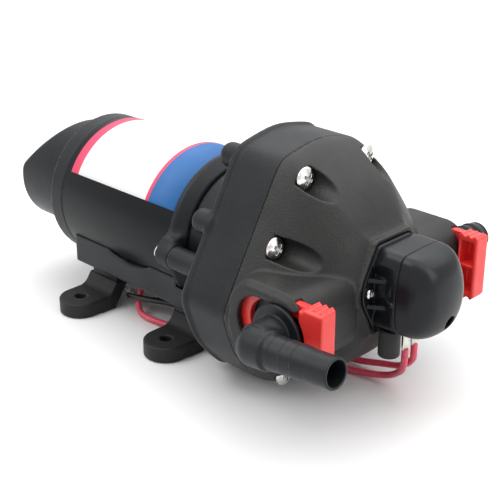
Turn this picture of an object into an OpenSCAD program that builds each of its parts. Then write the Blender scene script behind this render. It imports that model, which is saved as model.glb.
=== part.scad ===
// Diaphragm water pump with a brushed motor, a wobble drive, a domed head and a pressure switch.
// +X runs along the motor axis towards the switch, +Z is up, and the origin is the middle of the
// four foot holes on the mounting face.

/* [Motor] */
// Height of the motor axis above the mounting face
axis_h = 45.5; // [45:0.5:52]
// Outer diameter of the motor can
can_d = 62; // [60:0.5:64]
// Wall of the motor can
can_wall = 1.6; // [1.2:0.1:2]
// Length of the motor can
can_len = 68; // [66:1:76]
// Distance from the middle of the feet to the front end of the can
can_front_x = 30; // [28:0.5:33]
// Width of the tail cap's outer ring
tail_ring_w = 8; // [6:0.5:10]
// Diameter of the tail cap's nose
tail_d = 46.4; // [46:0.2:50]
// Length of the tail cap's nose
tail_len = 32.3; // [30:0.1:38]
// Height above the axis where the sloping cut of the nose starts
tail_cut_z = 7.7; // [7:0.1:10]
// How far the end pieces reach into the can
spigot_len = 4; // [3:0.5:6]
// Diameter of the main shaft
shaft_d = 8; // [7:0.5:9]
// Diameter of the rear journal
journal_d = 5; // [4:0.5:6]
// Outer diameter of the rear bush
bush_d = 16; // [14:0.5:18]
// Length of the rear bush
bush_len = 8; // [6:0.5:9]
// Thickness of a field magnet
magnet_t = 4.7; // [4:0.1:5]
// Length of a field magnet
magnet_len = 54; // [44:1:56]
// Air gap between magnets and armature
air_gap = 0.8; // [0.5:0.1:1.2]
// Length of the armature core
core_len = 44; // [36:1:46]
// Number of armature slots
slot_count = 8; // [6:2:12]
// Diameter of the commutator
comm_d = 18; // [16:0.5:20]
// Length of the commutator
comm_len = 10; // [8:0.5:11]
// Length of the label along the axis
label_len = 64; // [50:1:66]
// Angle that the label covers
label_span = 124; // [90:2:160]
// Thickness of the label film
label_t = 0.2; // [0.1:0.05:0.4]

/* [Front bell] */
// How far the front bell stands out from the can
bell_out = 1.5; // [1:0.25:2.5]
// Width of the front bell
bell_w = 7; // [6:0.5:9]
// How far the motor screws stand outside the bell's edge
motor_screw_out = 2; // [1.5:0.25:3.5]
// Outer diameter of the front bearing
bearing_d = 22; // [20:1:24]
// Width of the front bearing
bearing_w = 7; // [5:0.5:8]

/* [Drive housing] */
// Diameter of the neck behind the six-sided bowl
neck_d = 56; // [52:1:58]
// Length of the neck
neck_len = 18; // [16:0.5:22]
// Length of the six-sided bowl
bowl_len = 22; // [21:0.5:26]
// Thickness of the bowl's rear wall
bowl_wall = 2.5; // [2:0.25:4]
// Wall between the outline's corners and the bowl's inside
bowl_in = 18.3; // [18.3:0.1:19.3]
// How far the rear edge bead stands out
bead_out = 0.7; // [0.3:0.1:1.2]
// Length of the rear screw bosses
boss_len = 8; // [6:0.5:10]
// Diameter of the rear screw bosses
boss_d = 9.6; // [8:0.2:10.4]

/* [Wobble drive] */
// Tilt of the cam journal
tilt = 3; // [1.5:0.25:3.5]
// Diameter of the tilted journal
cam_d = 12; // [11:0.5:13]
// Outer diameter of the cam bearing
cam_bearing_d = 22; // [20:0.5:23]
// Width of the cam bearing
cam_bearing_w = 7; // [6:0.5:8]
// Distance from the bowl's inside to each piston's axis
piston_in = 13; // [12.5:0.25:14]
// Diameter of a piston
piston_d = 18; // [16:0.5:18]
// Thickness of the diaphragm
diaphragm_t = 2; // [1.6:0.1:2.4]
// Diameter of a piston cap
cap_d = 16; // [14:0.5:16]
// Thickness of a piston cap
cap_t = 2.4; // [2:0.1:2.8]
// Gap between the bowl's inside and the valve plate's edge
valve_in = 1; // [1:0.25:2]

/* [Head] */
// Radius of the six-sided outline at its corners
head_r = 49.3; // [49:0.1:51]
// Half the angle of one lobe of the outline
lobe_half = 24; // [22:0.5:26]
// Rounding of the outline's corners
head_round = 10; // [6:0.5:14]
// Length of the dome ahead of the joint plane
dome_len = 36; // [35:0.5:40]
// Where the dome's profile starts to fall away: higher keeps it full for longer
dome_power = 1.5; // [1.4:0.05:1.8]
// How blunt the dome's front is: lower is blunter
dome_blunt = 0.35; // [0.3:0.01:0.45]
// How far the corner screws lie inside the outline's corners
corner_in = 6.1; // [5.5:0.1:6.7]
// How far the mid-side screws lie inside the outline's long sides
side_in = 3.4; // [3.1:0.1:3.8]
// How far the screw seats lie ahead of the joint plane
seat_x = 8; // [6:0.5:9]
// Diameter of a head screw's head
screw_head_d = 8.4; // [7.4:0.2:8.6]
// Height of a head screw's head
screw_head_h = 3; // [2.4:0.1:3.4]
// Diameter of a head screw's shank
screw_d = 4; // [3.5:0.1:4.2]

/* [Ports] */
// Port axis ahead of the joint plane
port_off = 26; // [25:0.25:27]
// Port axis above the motor axis
port_z = -2.7; // [-4:0.1:0]
// Distance of each port's outer face from the motor axis
port_y = 48; // [47.5:0.25:50]
// Height of the port housing
port_h = 32.4; // [31:0.2:33]
// Diameter of the fitting's plug
plug_d = 15.8; // [15:0.1:16]
// Diameter of the fitting's inner flange
flange_d = 16.4; // [16.2:0.1:17]
// Diameter of the neck that the clip holds
neck_groove_d = 12.6; // [12.2:0.1:13]
// Diameter of the fitting's outer collar
collar_d = 20.8; // [20:0.1:21.2]
// Travel of a slide clip
clip_travel = 7; // [6:0.25:7.5]
// Thickness of the clip's plate
clip_t = 2.6; // [2.2:0.1:3]
// Height of the clip
clip_h = 24.4; // [24:0.1:25]
// How far the clip's round tail reaches behind its wide hole
clip_tail = 1.4; // [1:0.1:2]
// Lip of the port's mouth over the clip's edge
mouth_lip = 2.4; // [2:0.1:2.8]
// Length of the clip's grip along its travel
grip_len = 8.5; // [8:0.25:10]
// Width of the clip's grip
grip_w = 7.3; // [6.8:0.1:8]

/* [Hose barbs] */
// Outer diameter of the barb's tip
barb_d = 11.6; // [11:0.1:13]
// Bore of the barb
barb_bore = 9; // [7:0.1:9.2]
// Diameter of the elbow's body
elbow_d = 14; // [13.4:0.1:14.6]
// Distance from the port's face to the elbow's leg
elbow_out = 10.5; // [10:0.25:14]
// Length of the elbow's leg from its corner
elbow_leg = 36.4; // [30:0.2:42]
// Upward turn of the elbow's leg
elbow_turn = 5.6; // [0:0.2:12]
// Number of ribs on a barb
rib_count = 4; // [3:1:6]
// Reach of the straight barb beyond the port's face
straight_reach = 30; // [26:0.5:38]

/* [Pressure switch] */
// Switch centre above the motor axis
switch_z = 3.5; // [2:0.1:5]
// Width of the switch body
switch_w = 29.8; // [29:0.2:32]
// Height of the switch body
switch_h = 33; // [32:0.2:35]
// Length of the switch base ahead of its seat
switch_base_len = 14; // [13:0.25:16]
// Length of the switch cap
switch_cap_len = 11; // [10.5:0.25:13]
// Wall of the switch shells
switch_wall = 2; // [1.6:0.1:2.4]
// How far the flange's screw ears stand out from the switch base
switch_rim = 1.5; // [1:0.1:2]
// Half the height of a screw ear's flat end
ear_flat = 3; // [2:0.25:4]
// Half the width of the flange's top and bottom
ear_top = 9; // [8:0.25:10]
// Width of the collar's lip round the flange
lip_w = 1.5; // [1.2:0.1:2.2]
// Diameter of the sensing plunger
plunger_d = 8; // [7:0.25:8.5]
// Travel of the sensing plunger
plunger_travel = 1; // [0.6:0.1:1.2]
// Wire diameter of the switch spring
spring_wire = 0.8; // [0.6:0.05:0.9]
// Number of turns of the switch spring
spring_turns = 4; // [3:1:4]

/* [Base] */
// Spacing of the foot holes along the axis
foot_pitch_x = 55; // [52:0.5:58]
// Spacing of the foot holes across the axis
foot_pitch_y = 64.5; // [64:0.5:70]
// Diameter of a foot hole
foot_hole_d = 5; // [4:0.25:6]
// Width of a foot
foot_w = 18.4; // [16:0.2:20]
// Thickness of a foot's pad
pad_t = 6.5; // [5:0.25:7]
// How far the saddle's skirts lie inside the can's sides
saddle_in = 2.5; // [2:0.25:3]
// How far the skirts' lower edge lies below the axis
skirt_low = 25.5; // [24:0.5:26.5]
// How far the skirts' upper edge lies below the axis
skirt_high = 11; // [10:0.5:12]
// Depth of the hollow in the middle of each skirt's upper edge
scoop_depth = 3.6; // [2.5:0.1:4]
// How far the saddle's straps lie below the can
strap_t = 3; // [2.5:0.25:4]

/* [Leads] */
// Outer diameter of a lead
lead_d = 2.6; // [2.4:0.1:2.8]

/* [Hidden] */
$fn = 64;

// Clearances: press fit, running fit, and room between moving pieces
fit = 0.03;
run = 0.05;
room = 0.3;
// Overlap that keeps cuts clean, and overlap that joins two forms of one piece
cut = 1;
join = 0.6;

// Stations along the axis
can_r = can_d / 2;
can_in = can_r - can_wall;
can_rear_x = can_front_x - can_len;
ring_x = can_rear_x - tail_ring_w;
tail_x = ring_x - tail_len;
tail_wall = 2.7;
tail_in = tail_d / 2 - tail_wall;
brush_back = 14;
brush_x = ring_x - brush_back;
bush_x = brush_x - bush_len;
bell_x = can_front_x + bell_w;
bearing_set = 4;
bearing_x = can_front_x + bearing_set;
bowl_x = bell_x + neck_len;
joint_x = bowl_x + bowl_len;
magnet_gap = 1;
magnet_x = can_front_x - spigot_len - magnet_gap - magnet_len;
core_x = magnet_x + (magnet_len - core_len) / 2;
core_r = can_in - fit - magnet_t - air_gap;
comm_set = 4;
comm_x = brush_x + comm_set;
hub_gap = 1;
hub_x = bowl_x + bowl_wall + hub_gap;
hub_len = 6;
hub_cover = 1;
shaft_end_x = hub_x + hub_len - hub_cover;
swing_back = 7;
swing_x = joint_x - swing_back;
valve_set = 4.5;
valve_x = joint_x + valve_set;
valve_t = 8.5;
cavity_x = valve_x + valve_t;
screw_seat_x = joint_x + seat_x;
port_x = joint_x + port_off;
lip_front_x = joint_x + dome_len;
switch_set = 2;
switch_x = lip_front_x - switch_set;
seam_x = switch_x + switch_base_len;
nose_x = seam_x + switch_cap_len;
saddle_back = 4;
saddle_rear_x = can_rear_x + saddle_back;

// Distances from the axis
bell_d = can_d + 2 * bell_out;
motor_screw_y = bell_d / 2 + motor_screw_out;
saddle_w = can_d - 2 * saddle_in;
bowl_bore_r = head_r - bowl_in;
piston_r = bowl_bore_r - piston_in;
valve_r = bowl_bore_r - valve_in;
corner_screw_r = head_r - corner_in;
side_screw_r = head_r * cos(60 - lobe_half) - side_in;

// Angles of the head screws, measured from the top towards the near side
corner_angles = [-22.8, 22.8, 142.8, 217.2];
side_angles = [60.4, 180, 299.6];
screw_places = concat([for (a = corner_angles) [-sin(a), cos(a)] * corner_screw_r],
    [for (a = side_angles) [-sin(a), cos(a)] * side_screw_r]);
piston_angles = [90, 210, 330];

// A closed outline with every corner rounded; points run counter-clockwise
function edge_normal(p, i) = let (d = p[(i + 1) % len(p)] - p[i]) [d[1], -d[0]] / norm(d);
function rounded(p, r, n = 5) = [for (i = [0 : len(p) - 1])
    let (a = edge_normal(p, (i + len(p) - 1) % len(p)), b = edge_normal(p, i),
        c = p[i] - (a + b) * r / (1 + a * b), start = atan2(a[1], a[0]), turn = acos(min(1, a * b)))
    for (k = [0 : n]) c + r * [cos(start + turn * k / n), sin(start + turn * k / n)]];
function rect(x0, x1, y0, y1) = [[x0, y0], [x1, y0], [x1, y1], [x0, y1]];
function head_points(r) = [for (lobe = piston_angles, a = [-lobe_half, 0, lobe_half])
    r * [cos(lobe + a), sin(lobe + a)]];
function ear_outline(grow, r) = let (w = switch_w / 2 + switch_rim, h = switch_h / 2,
    turn = atan2(w - ear_top, h - ear_flat), f = ear_flat + grow * tan(turn / 2),
    t = ear_top + grow * tan(45 - turn / 2), x = w + grow, z = h + grow)
    rounded([for (p = [[x, -f], [x, f], [t, z], [-t, z], [-x, f], [-x, -f], [-t, -z], [t, -z]])
        p + [0, switch_z]], r);
function switch_outline(grow, r) = rounded(rect(-switch_w / 2 - grow, switch_w / 2 + grow,
    switch_z - switch_h / 2 - grow, switch_z + switch_h / 2 + grow), r);

// Places a flat outline across the axis, from x0 to x1
module across_x(x0, x1) {
    translate([x0, 0, axis_h])
        rotate([90, 0, 90])
            linear_extrude(x1 - x0)
                children();
}

// Places a flat side outline, from y0 to y1
module across_y(y0, y1) {
    translate([0, y1, axis_h])
        rotate([90, 0, 0])
            linear_extrude(y1 - y0)
                children();
}

module rod_x(r, x0, x1, y = 0, z = 0) {
    translate([x0, y, axis_h + z])
        rotate([0, 90, 0])
            cylinder(r = r, h = x1 - x0);
}

module rod_y(r, y0, y1, x, z) {
    translate([x, y0, axis_h + z])
        rotate([-90, 0, 0])
            cylinder(r = r, h = y1 - y0);
}

module tube_x(r_out, r_in, x0, x1) {
    difference() {
        rod_x(r_out, x0, x1);
        rod_x(r_in, x0 - cut, x1 + cut);
    }
}

module block(x0, x1, y0, y1, z0, z1) {
    translate([x0, y0, axis_h + z0])
        cube([x1 - x0, y1 - y0, z1 - z0]);
}

// A wedge across the axis, centred on the direction given by turn
module wedge(half, turn, x0, x1) {
    far = can_d;
    across_x(x0, x1)
        rotate(turn)
            polygon([[0, 0], [far * sin(half), far * cos(half)], [far * sin(half), far],
                [-far * sin(half), far], [-far * sin(half), far * cos(half)]]);
}

// Motor

module tail_cap() {
    cut_z = axis_h + tail_cut_z;
    color("#2b2d2f")
        difference() {
            union() {
                rod_x(tail_d / 2, tail_x, ring_x);
                rod_x(can_r, ring_x, can_rear_x);
                rod_x(can_in - fit, can_rear_x, can_rear_x + spigot_len);
            }
            rod_x(tail_in, brush_x, can_rear_x + spigot_len + cut);
            rod_x(bush_d / 2 + fit, bush_x, brush_x + cut);
            rod_x(journal_d / 2 + 1, bush_x - 3, bush_x + cut);
            translate([grommet_x, 0, axis_h - can_r - cut])
                cylinder(d = grommet_neck_d + 2 * fit, h = can_r - tail_in + 2 * cut);
            rotate([90, 0, 0])
                linear_extrude(tail_d + 2 * cut, center = true)
                    polygon([[tail_x - cut, cut_z - cut], [tail_x + tail_d, cut_z + tail_d],
                        [tail_x - cut, cut_z + tail_d]]);
        }
}

saddle_screw_x = [saddle_rear_x + 8, can_front_x - 8];
saddle_screw_d = 3;
grommet_x = (ring_x + can_rear_x) / 2;
grommet_d = 12;
grommet_neck_d = 6;
grommet_h = 3;

module motor_can() {
    color("#242628")
        difference() {
            tube_x(can_r, can_in, can_rear_x, can_front_x);
            for (x = saddle_screw_x)
                translate([x, 0, axis_h - can_r - cut])
                    cylinder(d = saddle_screw_d + 2 * fit, h = can_wall + 2 * cut);
        }
}

module rating_label() {
    label_gap = 0.8;
    label_x = can_front_x - label_gap - label_len;
    color("#f4f4f4")
        intersection() {
            tube_x(can_r + fit + label_t, can_r + fit, label_x, label_x + label_len);
            wedge(label_span / 2, 0, label_x - cut, label_x + label_len + cut);
        }
}

module field_magnet(turn) {
    color("#4a4d50")
        intersection() {
            tube_x(can_in - fit, can_in - fit - magnet_t, magnet_x, magnet_x + magnet_len);
            wedge(66, turn, magnet_x - cut, magnet_x + magnet_len + cut);
        }
}

module rear_bush() {
    color("#b08d57")
        tube_x(bush_d / 2, journal_d / 2 + run, bush_x, brush_x);
}

brush_w = 5;
brush_h = 6;
holder_w = 9;
brush_mid_x = comm_x + comm_len / 2;

module brush_plate() {
    plate_t = 3;
    color("#5b4632")
        difference() {
            union() {
                rod_x(tail_in - fit, brush_x, brush_x + plate_t);
                for (s = [-1, 1])
                    block(brush_x + plate_t - 0.5, brush_mid_x + holder_w / 2,
                        min(s * (comm_d / 2 + 2), s * (tail_in - 2.5)),
                        max(s * (comm_d / 2 + 2), s * (tail_in - 2.5)), -holder_w / 2, holder_w / 2);
            }
            rod_x(comm_d / 2 + 1, brush_x - cut, brush_x + plate_t + cut);
            block(brush_mid_x - brush_w / 2 - fit, brush_mid_x + brush_w / 2 + fit, -tail_in - cut,
                tail_in + cut, -brush_h / 2 - fit, brush_h / 2 + fit);
        }
}

module carbon_brushes() {
    inner = comm_d / 2 + room;
    outer = tail_in - 3;
    color("#1b1b1b")
        for (s = [-1, 1])
            block(brush_mid_x - brush_w / 2, brush_mid_x + brush_w / 2, min(s * inner, s * outer),
                max(s * inner, s * outer), -brush_h / 2, brush_h / 2);
}

module commutator() {
    color("#b87333")
        tube_x(comm_d / 2, shaft_d / 2 + fit, comm_x, comm_x + comm_len);
}

module motor_shaft() {
    color("#c9ccd0")
        union() {
            rod_x(journal_d / 2, bush_x - 2, brush_x + 1.5);
            rod_x(shaft_d / 2, brush_x + 1, shaft_end_x);
        }
}

module armature_core() {
    slot_w = 3;
    color("#6d7074")
        difference() {
            rod_x(core_r, core_x, core_x + core_len);
            rod_x(shaft_d / 2 + fit, core_x - cut, core_x + core_len + cut);
            for (i = [0 : slot_count - 1])
                translate([core_x - cut, 0, axis_h])
                    rotate([i * 360 / slot_count, 0, 0])
                        translate([0, -slot_w / 2, core_r / 2])
                            cube([core_len + 2 * cut, slot_w, core_r]);
        }
}

module armature_coils() {
    head_t = 6;
    color("#b5651d")
        for (x = [core_x - head_t, core_x + core_len])
            tube_x(core_r - 2, core_r / 2, x, x + head_t);
}

module front_bell() {
    boss_r = bearing_d / 2 + 3;
    groove_w = 1.4;
    groove_depth = 0.8;
    color("#2e3032")
        difference() {
            union() {
                rod_x(bell_d / 2, can_front_x, bell_x);
                rod_x(can_in - fit, can_front_x - spigot_len, can_front_x + 1);
                rod_x(boss_r, bell_x - 1, bearing_x + bearing_w + 1);
                for (s = [-1, 1])
                    rod_x(motor_boss_d / 2, can_front_x, bell_x, s * motor_screw_y);
            }
            rod_x(shaft_d / 2 + 2, can_front_x - spigot_len - cut, bearing_x + cut);
            rod_x(bearing_d / 2 + fit, bearing_x, bearing_x + bearing_w + 2 + cut);
            for (s = [-1, 1])
                rod_x(motor_screw_d / 2 + fit, can_front_x - cut, bell_x + cut, s * motor_screw_y);
            difference() {
                tube_x(bell_d, bell_d / 2 - groove_depth, bell_x - 3, bell_x - 3 + groove_w);
                for (s = [-1, 1])
                    rod_x(motor_boss_d / 2, can_front_x, bell_x, s * motor_screw_y);
            }
        }
}

module front_bearing() {
    color("#d0d3d6")
        tube_x(bearing_d / 2, shaft_d / 2 + run, bearing_x, bearing_x + bearing_w);
}

motor_boss_d = 9.2;
motor_screw_d = 4;
motor_head_d = 6.8;
motor_head_h = 2.6;

module motor_screws() {
    color("#d8dadc")
        for (s = [-1, 1]) {
            rod_x(motor_head_d / 2, can_front_x - motor_head_h, can_front_x, s * motor_screw_y);
            rod_x(motor_screw_d / 2, can_front_x - 0.5, bowl_x - 2, s * motor_screw_y);
        }
}

// Drive

module drive_housing() {
    wall = 3;
    bead_len = 2.5;
    color("#303335")
        difference() {
            union() {
                rod_x(neck_d / 2, bell_x, bowl_x + 1);
                across_x(bowl_x, joint_x)
                    polygon(rounded(head_points(head_r), head_round));
                across_x(bowl_x + 0.6, bowl_x + 0.6 + bead_len)
                    polygon(rounded(head_points(head_r + bead_out), head_round));
                for (p = screw_places)
                    rod_x(boss_d / 2, bowl_x - boss_len, bowl_x + 1, p[0], p[1]);
                for (s = [-1, 1])
                    rod_x(motor_boss_d / 2, bell_x, bowl_x + 1, s * motor_screw_y);
            }
            rod_x(neck_d / 2 - wall, bell_x - cut, bowl_x - 1);
            rod_x(shaft_d / 2 + 5, bowl_x - 1 - cut, bowl_x + bowl_wall + cut);
            rod_x(bowl_bore_r, bowl_x + bowl_wall, joint_x + cut);
            for (p = screw_places)
                rod_x(screw_d / 2 + fit, bowl_x - boss_len + 2, joint_x + cut, p[0], p[1]);
            for (s = [-1, 1])
                rod_x(motor_screw_d / 2 + fit, bell_x - cut, bowl_x - 1, s * motor_screw_y);
        }
}

// Moves children from the swing centre's own frame into place, tilted with the cam
module on_swing() {
    translate([swing_x, 0, axis_h])
        rotate([0, -tilt, 0])
            translate([0, 0, -axis_h])
                children();
}

cam_front = cam_bearing_w / 2 + 0.5;

module cam_hub() {
    hub_r = 9;
    color("#8f9498")
        difference() {
            union() {
                rod_x(hub_r, hub_x, hub_x + hub_len);
                on_swing()
                    rod_x(cam_d / 2, hub_x + hub_len - swing_x - 1, cam_front);
            }
            rod_x(shaft_d / 2 + fit, hub_x - cut, shaft_end_x + fit);
        }
}

module cam_bearing() {
    color("#d0d3d6")
        on_swing()
            tube_x(cam_bearing_d / 2, cam_d / 2 + run, -cam_bearing_w / 2, cam_bearing_w / 2);
}

piston_top = joint_x - swing_x;
arm_t = 5;
piston_screw_d = 4;
piston_screw_head_d = 6.4;
piston_screw_head_h = 1.4;

module at_pistons() {
    for (a = piston_angles)
        translate([0, piston_r * cos(a), piston_r * sin(a)])
            children();
}

module wobble_plate() {
    corner = piston_r + piston_d;
    hub_r = cam_bearing_d / 2 + 3;
    color("#c9c4b4")
        on_swing()
            difference() {
                union() {
                    across_x(-arm_t / 2, arm_t / 2)
                        polygon(rounded([for (a = piston_angles) corner * [cos(a), sin(a)]], piston_d / 2));
                    rod_x(hub_r, -cam_bearing_w / 2, cam_bearing_w / 2);
                    at_pistons()
                        rod_x(piston_d / 2, -arm_t / 2, piston_top - fit);
                }
                rod_x(cam_bearing_d / 2 + fit, -cam_bearing_w / 2 - cut, piston_top + cut);
                at_pistons()
                    rod_x(piston_screw_d / 2 + fit, -1, piston_top + cut);
            }
}

module piston_caps() {
    base = piston_top + diaphragm_t + fit;
    color("#3a3d40")
        on_swing()
            difference() {
                at_pistons()
                    rod_x(cap_d / 2, base, base + cap_t);
                at_pistons()
                    rod_x(piston_screw_d / 2 + fit, base - cut, base + cap_t + cut);
            }
}

module piston_screws() {
    seat = piston_top + diaphragm_t + fit + cap_t;
    color("#d8dadc")
        on_swing()
            at_pistons() {
                rod_x(piston_screw_head_d / 2, seat, seat + piston_screw_head_h);
                rod_x(piston_screw_d / 2, 0, seat + 0.5);
            }
}

rim_seat = 1;
rim_w = 4;

module diaphragm() {
    rim_r = bowl_bore_r + rim_seat;
    color("#1f2021")
        difference() {
            union() {
                tube_x(rim_r, rim_r - rim_w, joint_x, joint_x + diaphragm_t);
                on_swing()
                    rod_x(rim_r - rim_w + join, piston_top, piston_top + diaphragm_t);
            }
            on_swing()
                at_pistons()
                    rod_x(piston_screw_d / 2 + 2 * fit, piston_top - cut, piston_top + diaphragm_t + cut);
        }
}

// Head

bowl_depth = 4.5;
bowl_gap = 2;
inlet_r = piston_r + 4.6;
inlet_lip_r = 3.4;
inlet_way_r = 0.9;
outlet_r = piston_r - 7;
outlet_way_r = 1.2;
stem_d = 2.4;
outlet_stem_d = 2.8;
stem_out = 1;
valve_lip = 1.1;

module valve_plate() {
    floor_x = valve_x + bowl_depth;
    color("#d9d5c8")
        difference() {
            rod_x(valve_r - fit, valve_x, cavity_x);
            at_pistons()
                rod_x(cap_d / 2 + bowl_gap, valve_x - cut, floor_x);
            for (a = piston_angles) {
                rod_x(stem_d / 2 + fit, floor_x - cut, cavity_x + cut, inlet_r * cos(a), inlet_r * sin(a));
                for (turn = [-7, 7])
                    rod_x(inlet_way_r, floor_x - cut, cavity_x + cut, inlet_r * cos(a + turn),
                        inlet_r * sin(a + turn));
                rod_x(outlet_way_r, floor_x - cut, cavity_x + cut, outlet_r * cos(a), outlet_r * sin(a));
            }
            rod_x(outlet_stem_d / 2 + fit, valve_x - cut, cavity_x + cut);
        }
}

module inlet_valves() {
    floor_x = valve_x + bowl_depth;
    color("#26282a")
        for (a = piston_angles) {
            rod_x(inlet_lip_r, floor_x - valve_lip, floor_x, inlet_r * cos(a), inlet_r * sin(a));
            rod_x(stem_d / 2, floor_x - join, cavity_x + stem_out, inlet_r * cos(a), inlet_r * sin(a));
        }
}

module outlet_valve() {
    color("#26282a")
        union() {
            rod_x(chamber_r - 2 * room, cavity_x, cavity_x + valve_lip);
            rod_x(outlet_stem_d / 2, valve_x + stem_out, cavity_x + join);
        }
}

chamber_r = 13;
chamber_len = 11;
gallery_y = inlet_r + 0.4;
passage_r = 3.2;
ring_depth = 3;
slice_steps = [0, 0.12, 0.26, 0.4, 0.54, 0.67, 0.79, 0.89, 0.95];
plate_y = port_y - 2.4;
slot_y = plate_y - clip_t - 2 * room;
flange_w = 2.4;
socket_depth = 14;
clip_mid_x = port_x - clip_travel;
clip_back_x = clip_mid_x - clip_tail;
port_wall = 2.5;
port_rear_x = clip_back_x - clip_h / 2 - room - port_wall;
port_reach = 9.5;
port_front_x = port_x + port_reach;
grip_set = 7.9;
sense_r = 9;
sense_depth = 2;
sense_way_r = 2.5;

// One cross-section of the dome, at a share u of its length
module dome_slice(u) {
    s = pow(1 - pow(u, dome_power), dome_blunt);
    slice_t = 0.2;
    across_x(joint_x + u * dome_len, joint_x + u * dome_len + slice_t)
        polygon(rounded(head_points(head_r * s), head_round * s + u * head_r * s * 0.5, 3));
}

// Everything cut for one port, on the near side
module port_cuts() {
    half = clip_h / 2 + room;
    mouth = clip_h / 2 - mouth_lip;
    mouth_x = clip_back_x - clip_tail;
    outer = -port_y - cut;
    rod_y(plug_d / 2 + run, -slot_y - cut, -slot_y + flange_w + socket_depth, port_x, port_z);
    rod_y(flange_d / 2 + room, -slot_y - cut, -slot_y + flange_w + room, port_x, port_z);
    rod_y(half, -plate_y, -slot_y, clip_back_x, port_z);
    block(clip_back_x, port_front_x + grip_len, -plate_y, -slot_y, port_z - half, port_z + half);
    rod_y(mouth, outer, -plate_y + cut, mouth_x, port_z);
    block(mouth_x, port_front_x + grip_len, outer, -plate_y + cut, port_z - mouth, port_z + mouth);
    block(port_x + grip_set, port_front_x + grip_len, outer, -plate_y + cut, port_z - half, port_z + half);
    rod_y(passage_r, -slot_y, -gallery_y - cut, port_x, port_z);
}

// Water ways: a ring that feeds the inlet valves, and a cross passage from the outlet chamber
module galleries() {
    gallery_r = passage_r - 0.4;
    ring_wall = 4;
    cross_x = cavity_x + chamber_len - passage_r - join;
    tube_x(inlet_r + ring_wall, chamber_r + ring_wall, cavity_x - cut, cavity_x + ring_depth);
    rod_x(gallery_r, cavity_x - cut, port_x, -gallery_y, port_z);
    rod_x(gallery_r, cross_x - join, port_x, gallery_y, port_z);
    rod_y(passage_r, 0, gallery_y + cut, cross_x, port_z);
}

module pump_head() {
    lip = lip_w + room;
    lip_len = 9;
    trough_gap = 0.8;
    port_corner = 6;
    screw_bite = 5;
    color("#3a3c3d")
        difference() {
            union() {
                hull()
                    for (u = slice_steps)
                        dome_slice(u);
                across_x(lip_front_x - lip_len, lip_front_x)
                    polygon(ear_outline(lip, ear_round));
                for (s = [0, 1])
                    mirror([0, s, 0])
                        across_y(-port_y, -gallery_y)
                            polygon(rounded(rect(port_rear_x, port_front_x, port_z - port_h / 2,
                                port_z + port_h / 2), port_corner));
            }
            rod_x(bowl_bore_r + rim_seat + fit, joint_x - cut, joint_x + diaphragm_t);
            rod_x(valve_r, joint_x, cavity_x);
            rod_x(chamber_r, cavity_x - cut, cavity_x + chamber_len);
            rod_x(sense_way_r, cavity_x, lip_front_x);
            rod_x(sense_r + fit, switch_x - sense_depth, lip_front_x + cut, 0, switch_z);
            across_x(switch_x, lip_front_x + cut)
                polygon(ear_outline(room, ear_round));
            for (p = screw_places) {
                rod_x(screw_d / 2 + room, joint_x - cut, screw_seat_x + cut, p[0], p[1]);
                rod_x(screw_head_d / 2 + trough_gap, screw_seat_x, lip_front_x, p[0], p[1]);
            }
            galleries();
            for (s = [0, 1])
                mirror([0, s, 0])
                    port_cuts();
            for (s = [-1, 1])
                rod_x(switch_screw_d / 2 + fit, switch_x - screw_bite, switch_x + cut, s * switch_screw_y,
                    switch_z);
        }
}

module head_screws() {
    color("#d8dadc")
        for (p = screw_places) {
            rod_x(screw_head_d / 2, screw_seat_x, screw_seat_x + screw_head_h, p[0], p[1]);
            rod_x(screw_d / 2, bowl_x - boss_len + 3, screw_seat_x + 0.5, p[0], p[1]);
        }
}

// Ports

module slide_clip() {
    y_in = -slot_y - room;
    y_out = -plate_y + room;
    half = clip_h / 2;
    grip_x = port_front_x + 0.5;
    grip_out = -port_y + room;
    grip_in = grip_out + grip_w;
    wide = flange_d / 2 + 2 * room;
    ridge_h = 1;
    ridge_w = grip_len / 5;
    grip_wall = 1.8;
    hollow = 3;
    color("#f03a34")
        difference() {
            union() {
                rod_y(half, y_out, y_in, clip_back_x, port_z);
                block(clip_back_x, grip_x + join, y_out, y_in, port_z - half, port_z + half);
                block(port_x + grip_set + room, grip_x + join, grip_out, y_out + join, port_z - half,
                    port_z + half);
                block(grip_x, grip_x + grip_len, grip_out, grip_in, port_z - half, port_z + half);
                for (i = [0 : 2], s = [-1, 1])
                    block(grip_x + (0.5 + 1.5 * i) * ridge_w, grip_x + (1.5 + 1.5 * i) * ridge_w,
                        grip_out, grip_in, port_z + s * half - ridge_h, port_z + s * half + ridge_h);
            }
            rod_y(collar_d / 2 + 2 * room, -port_y - cut, y_out + 0.001, port_x, port_z);
            rod_y(wide, y_out - cut, y_in + cut, clip_mid_x, port_z);
            rod_y(neck_groove_d / 2 + room, y_out - cut, y_in + cut, port_x, port_z);
            block(clip_mid_x, port_x, y_out - cut, y_in + cut, port_z - neck_groove_d / 2 - room,
                port_z + neck_groove_d / 2 + room);
            block(grip_x + grip_wall, grip_x + grip_len - grip_wall, grip_in - hollow, grip_in + cut,
                port_z - half + hollow, port_z + half - hollow);
        }
}

module near_clip() {
    slide_clip();
}

module far_clip() {
    mirror([0, 1, 0])
        slide_clip();
}

collar_y = -port_y - room;
ring_section = 1.7;
ring_r = plug_d / 2 - ring_section / 2 + 0.02;
ring_y = -slot_y + flange_w + 5;
groove_floor = ring_r - ring_section / 2 - 0.02;

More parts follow.
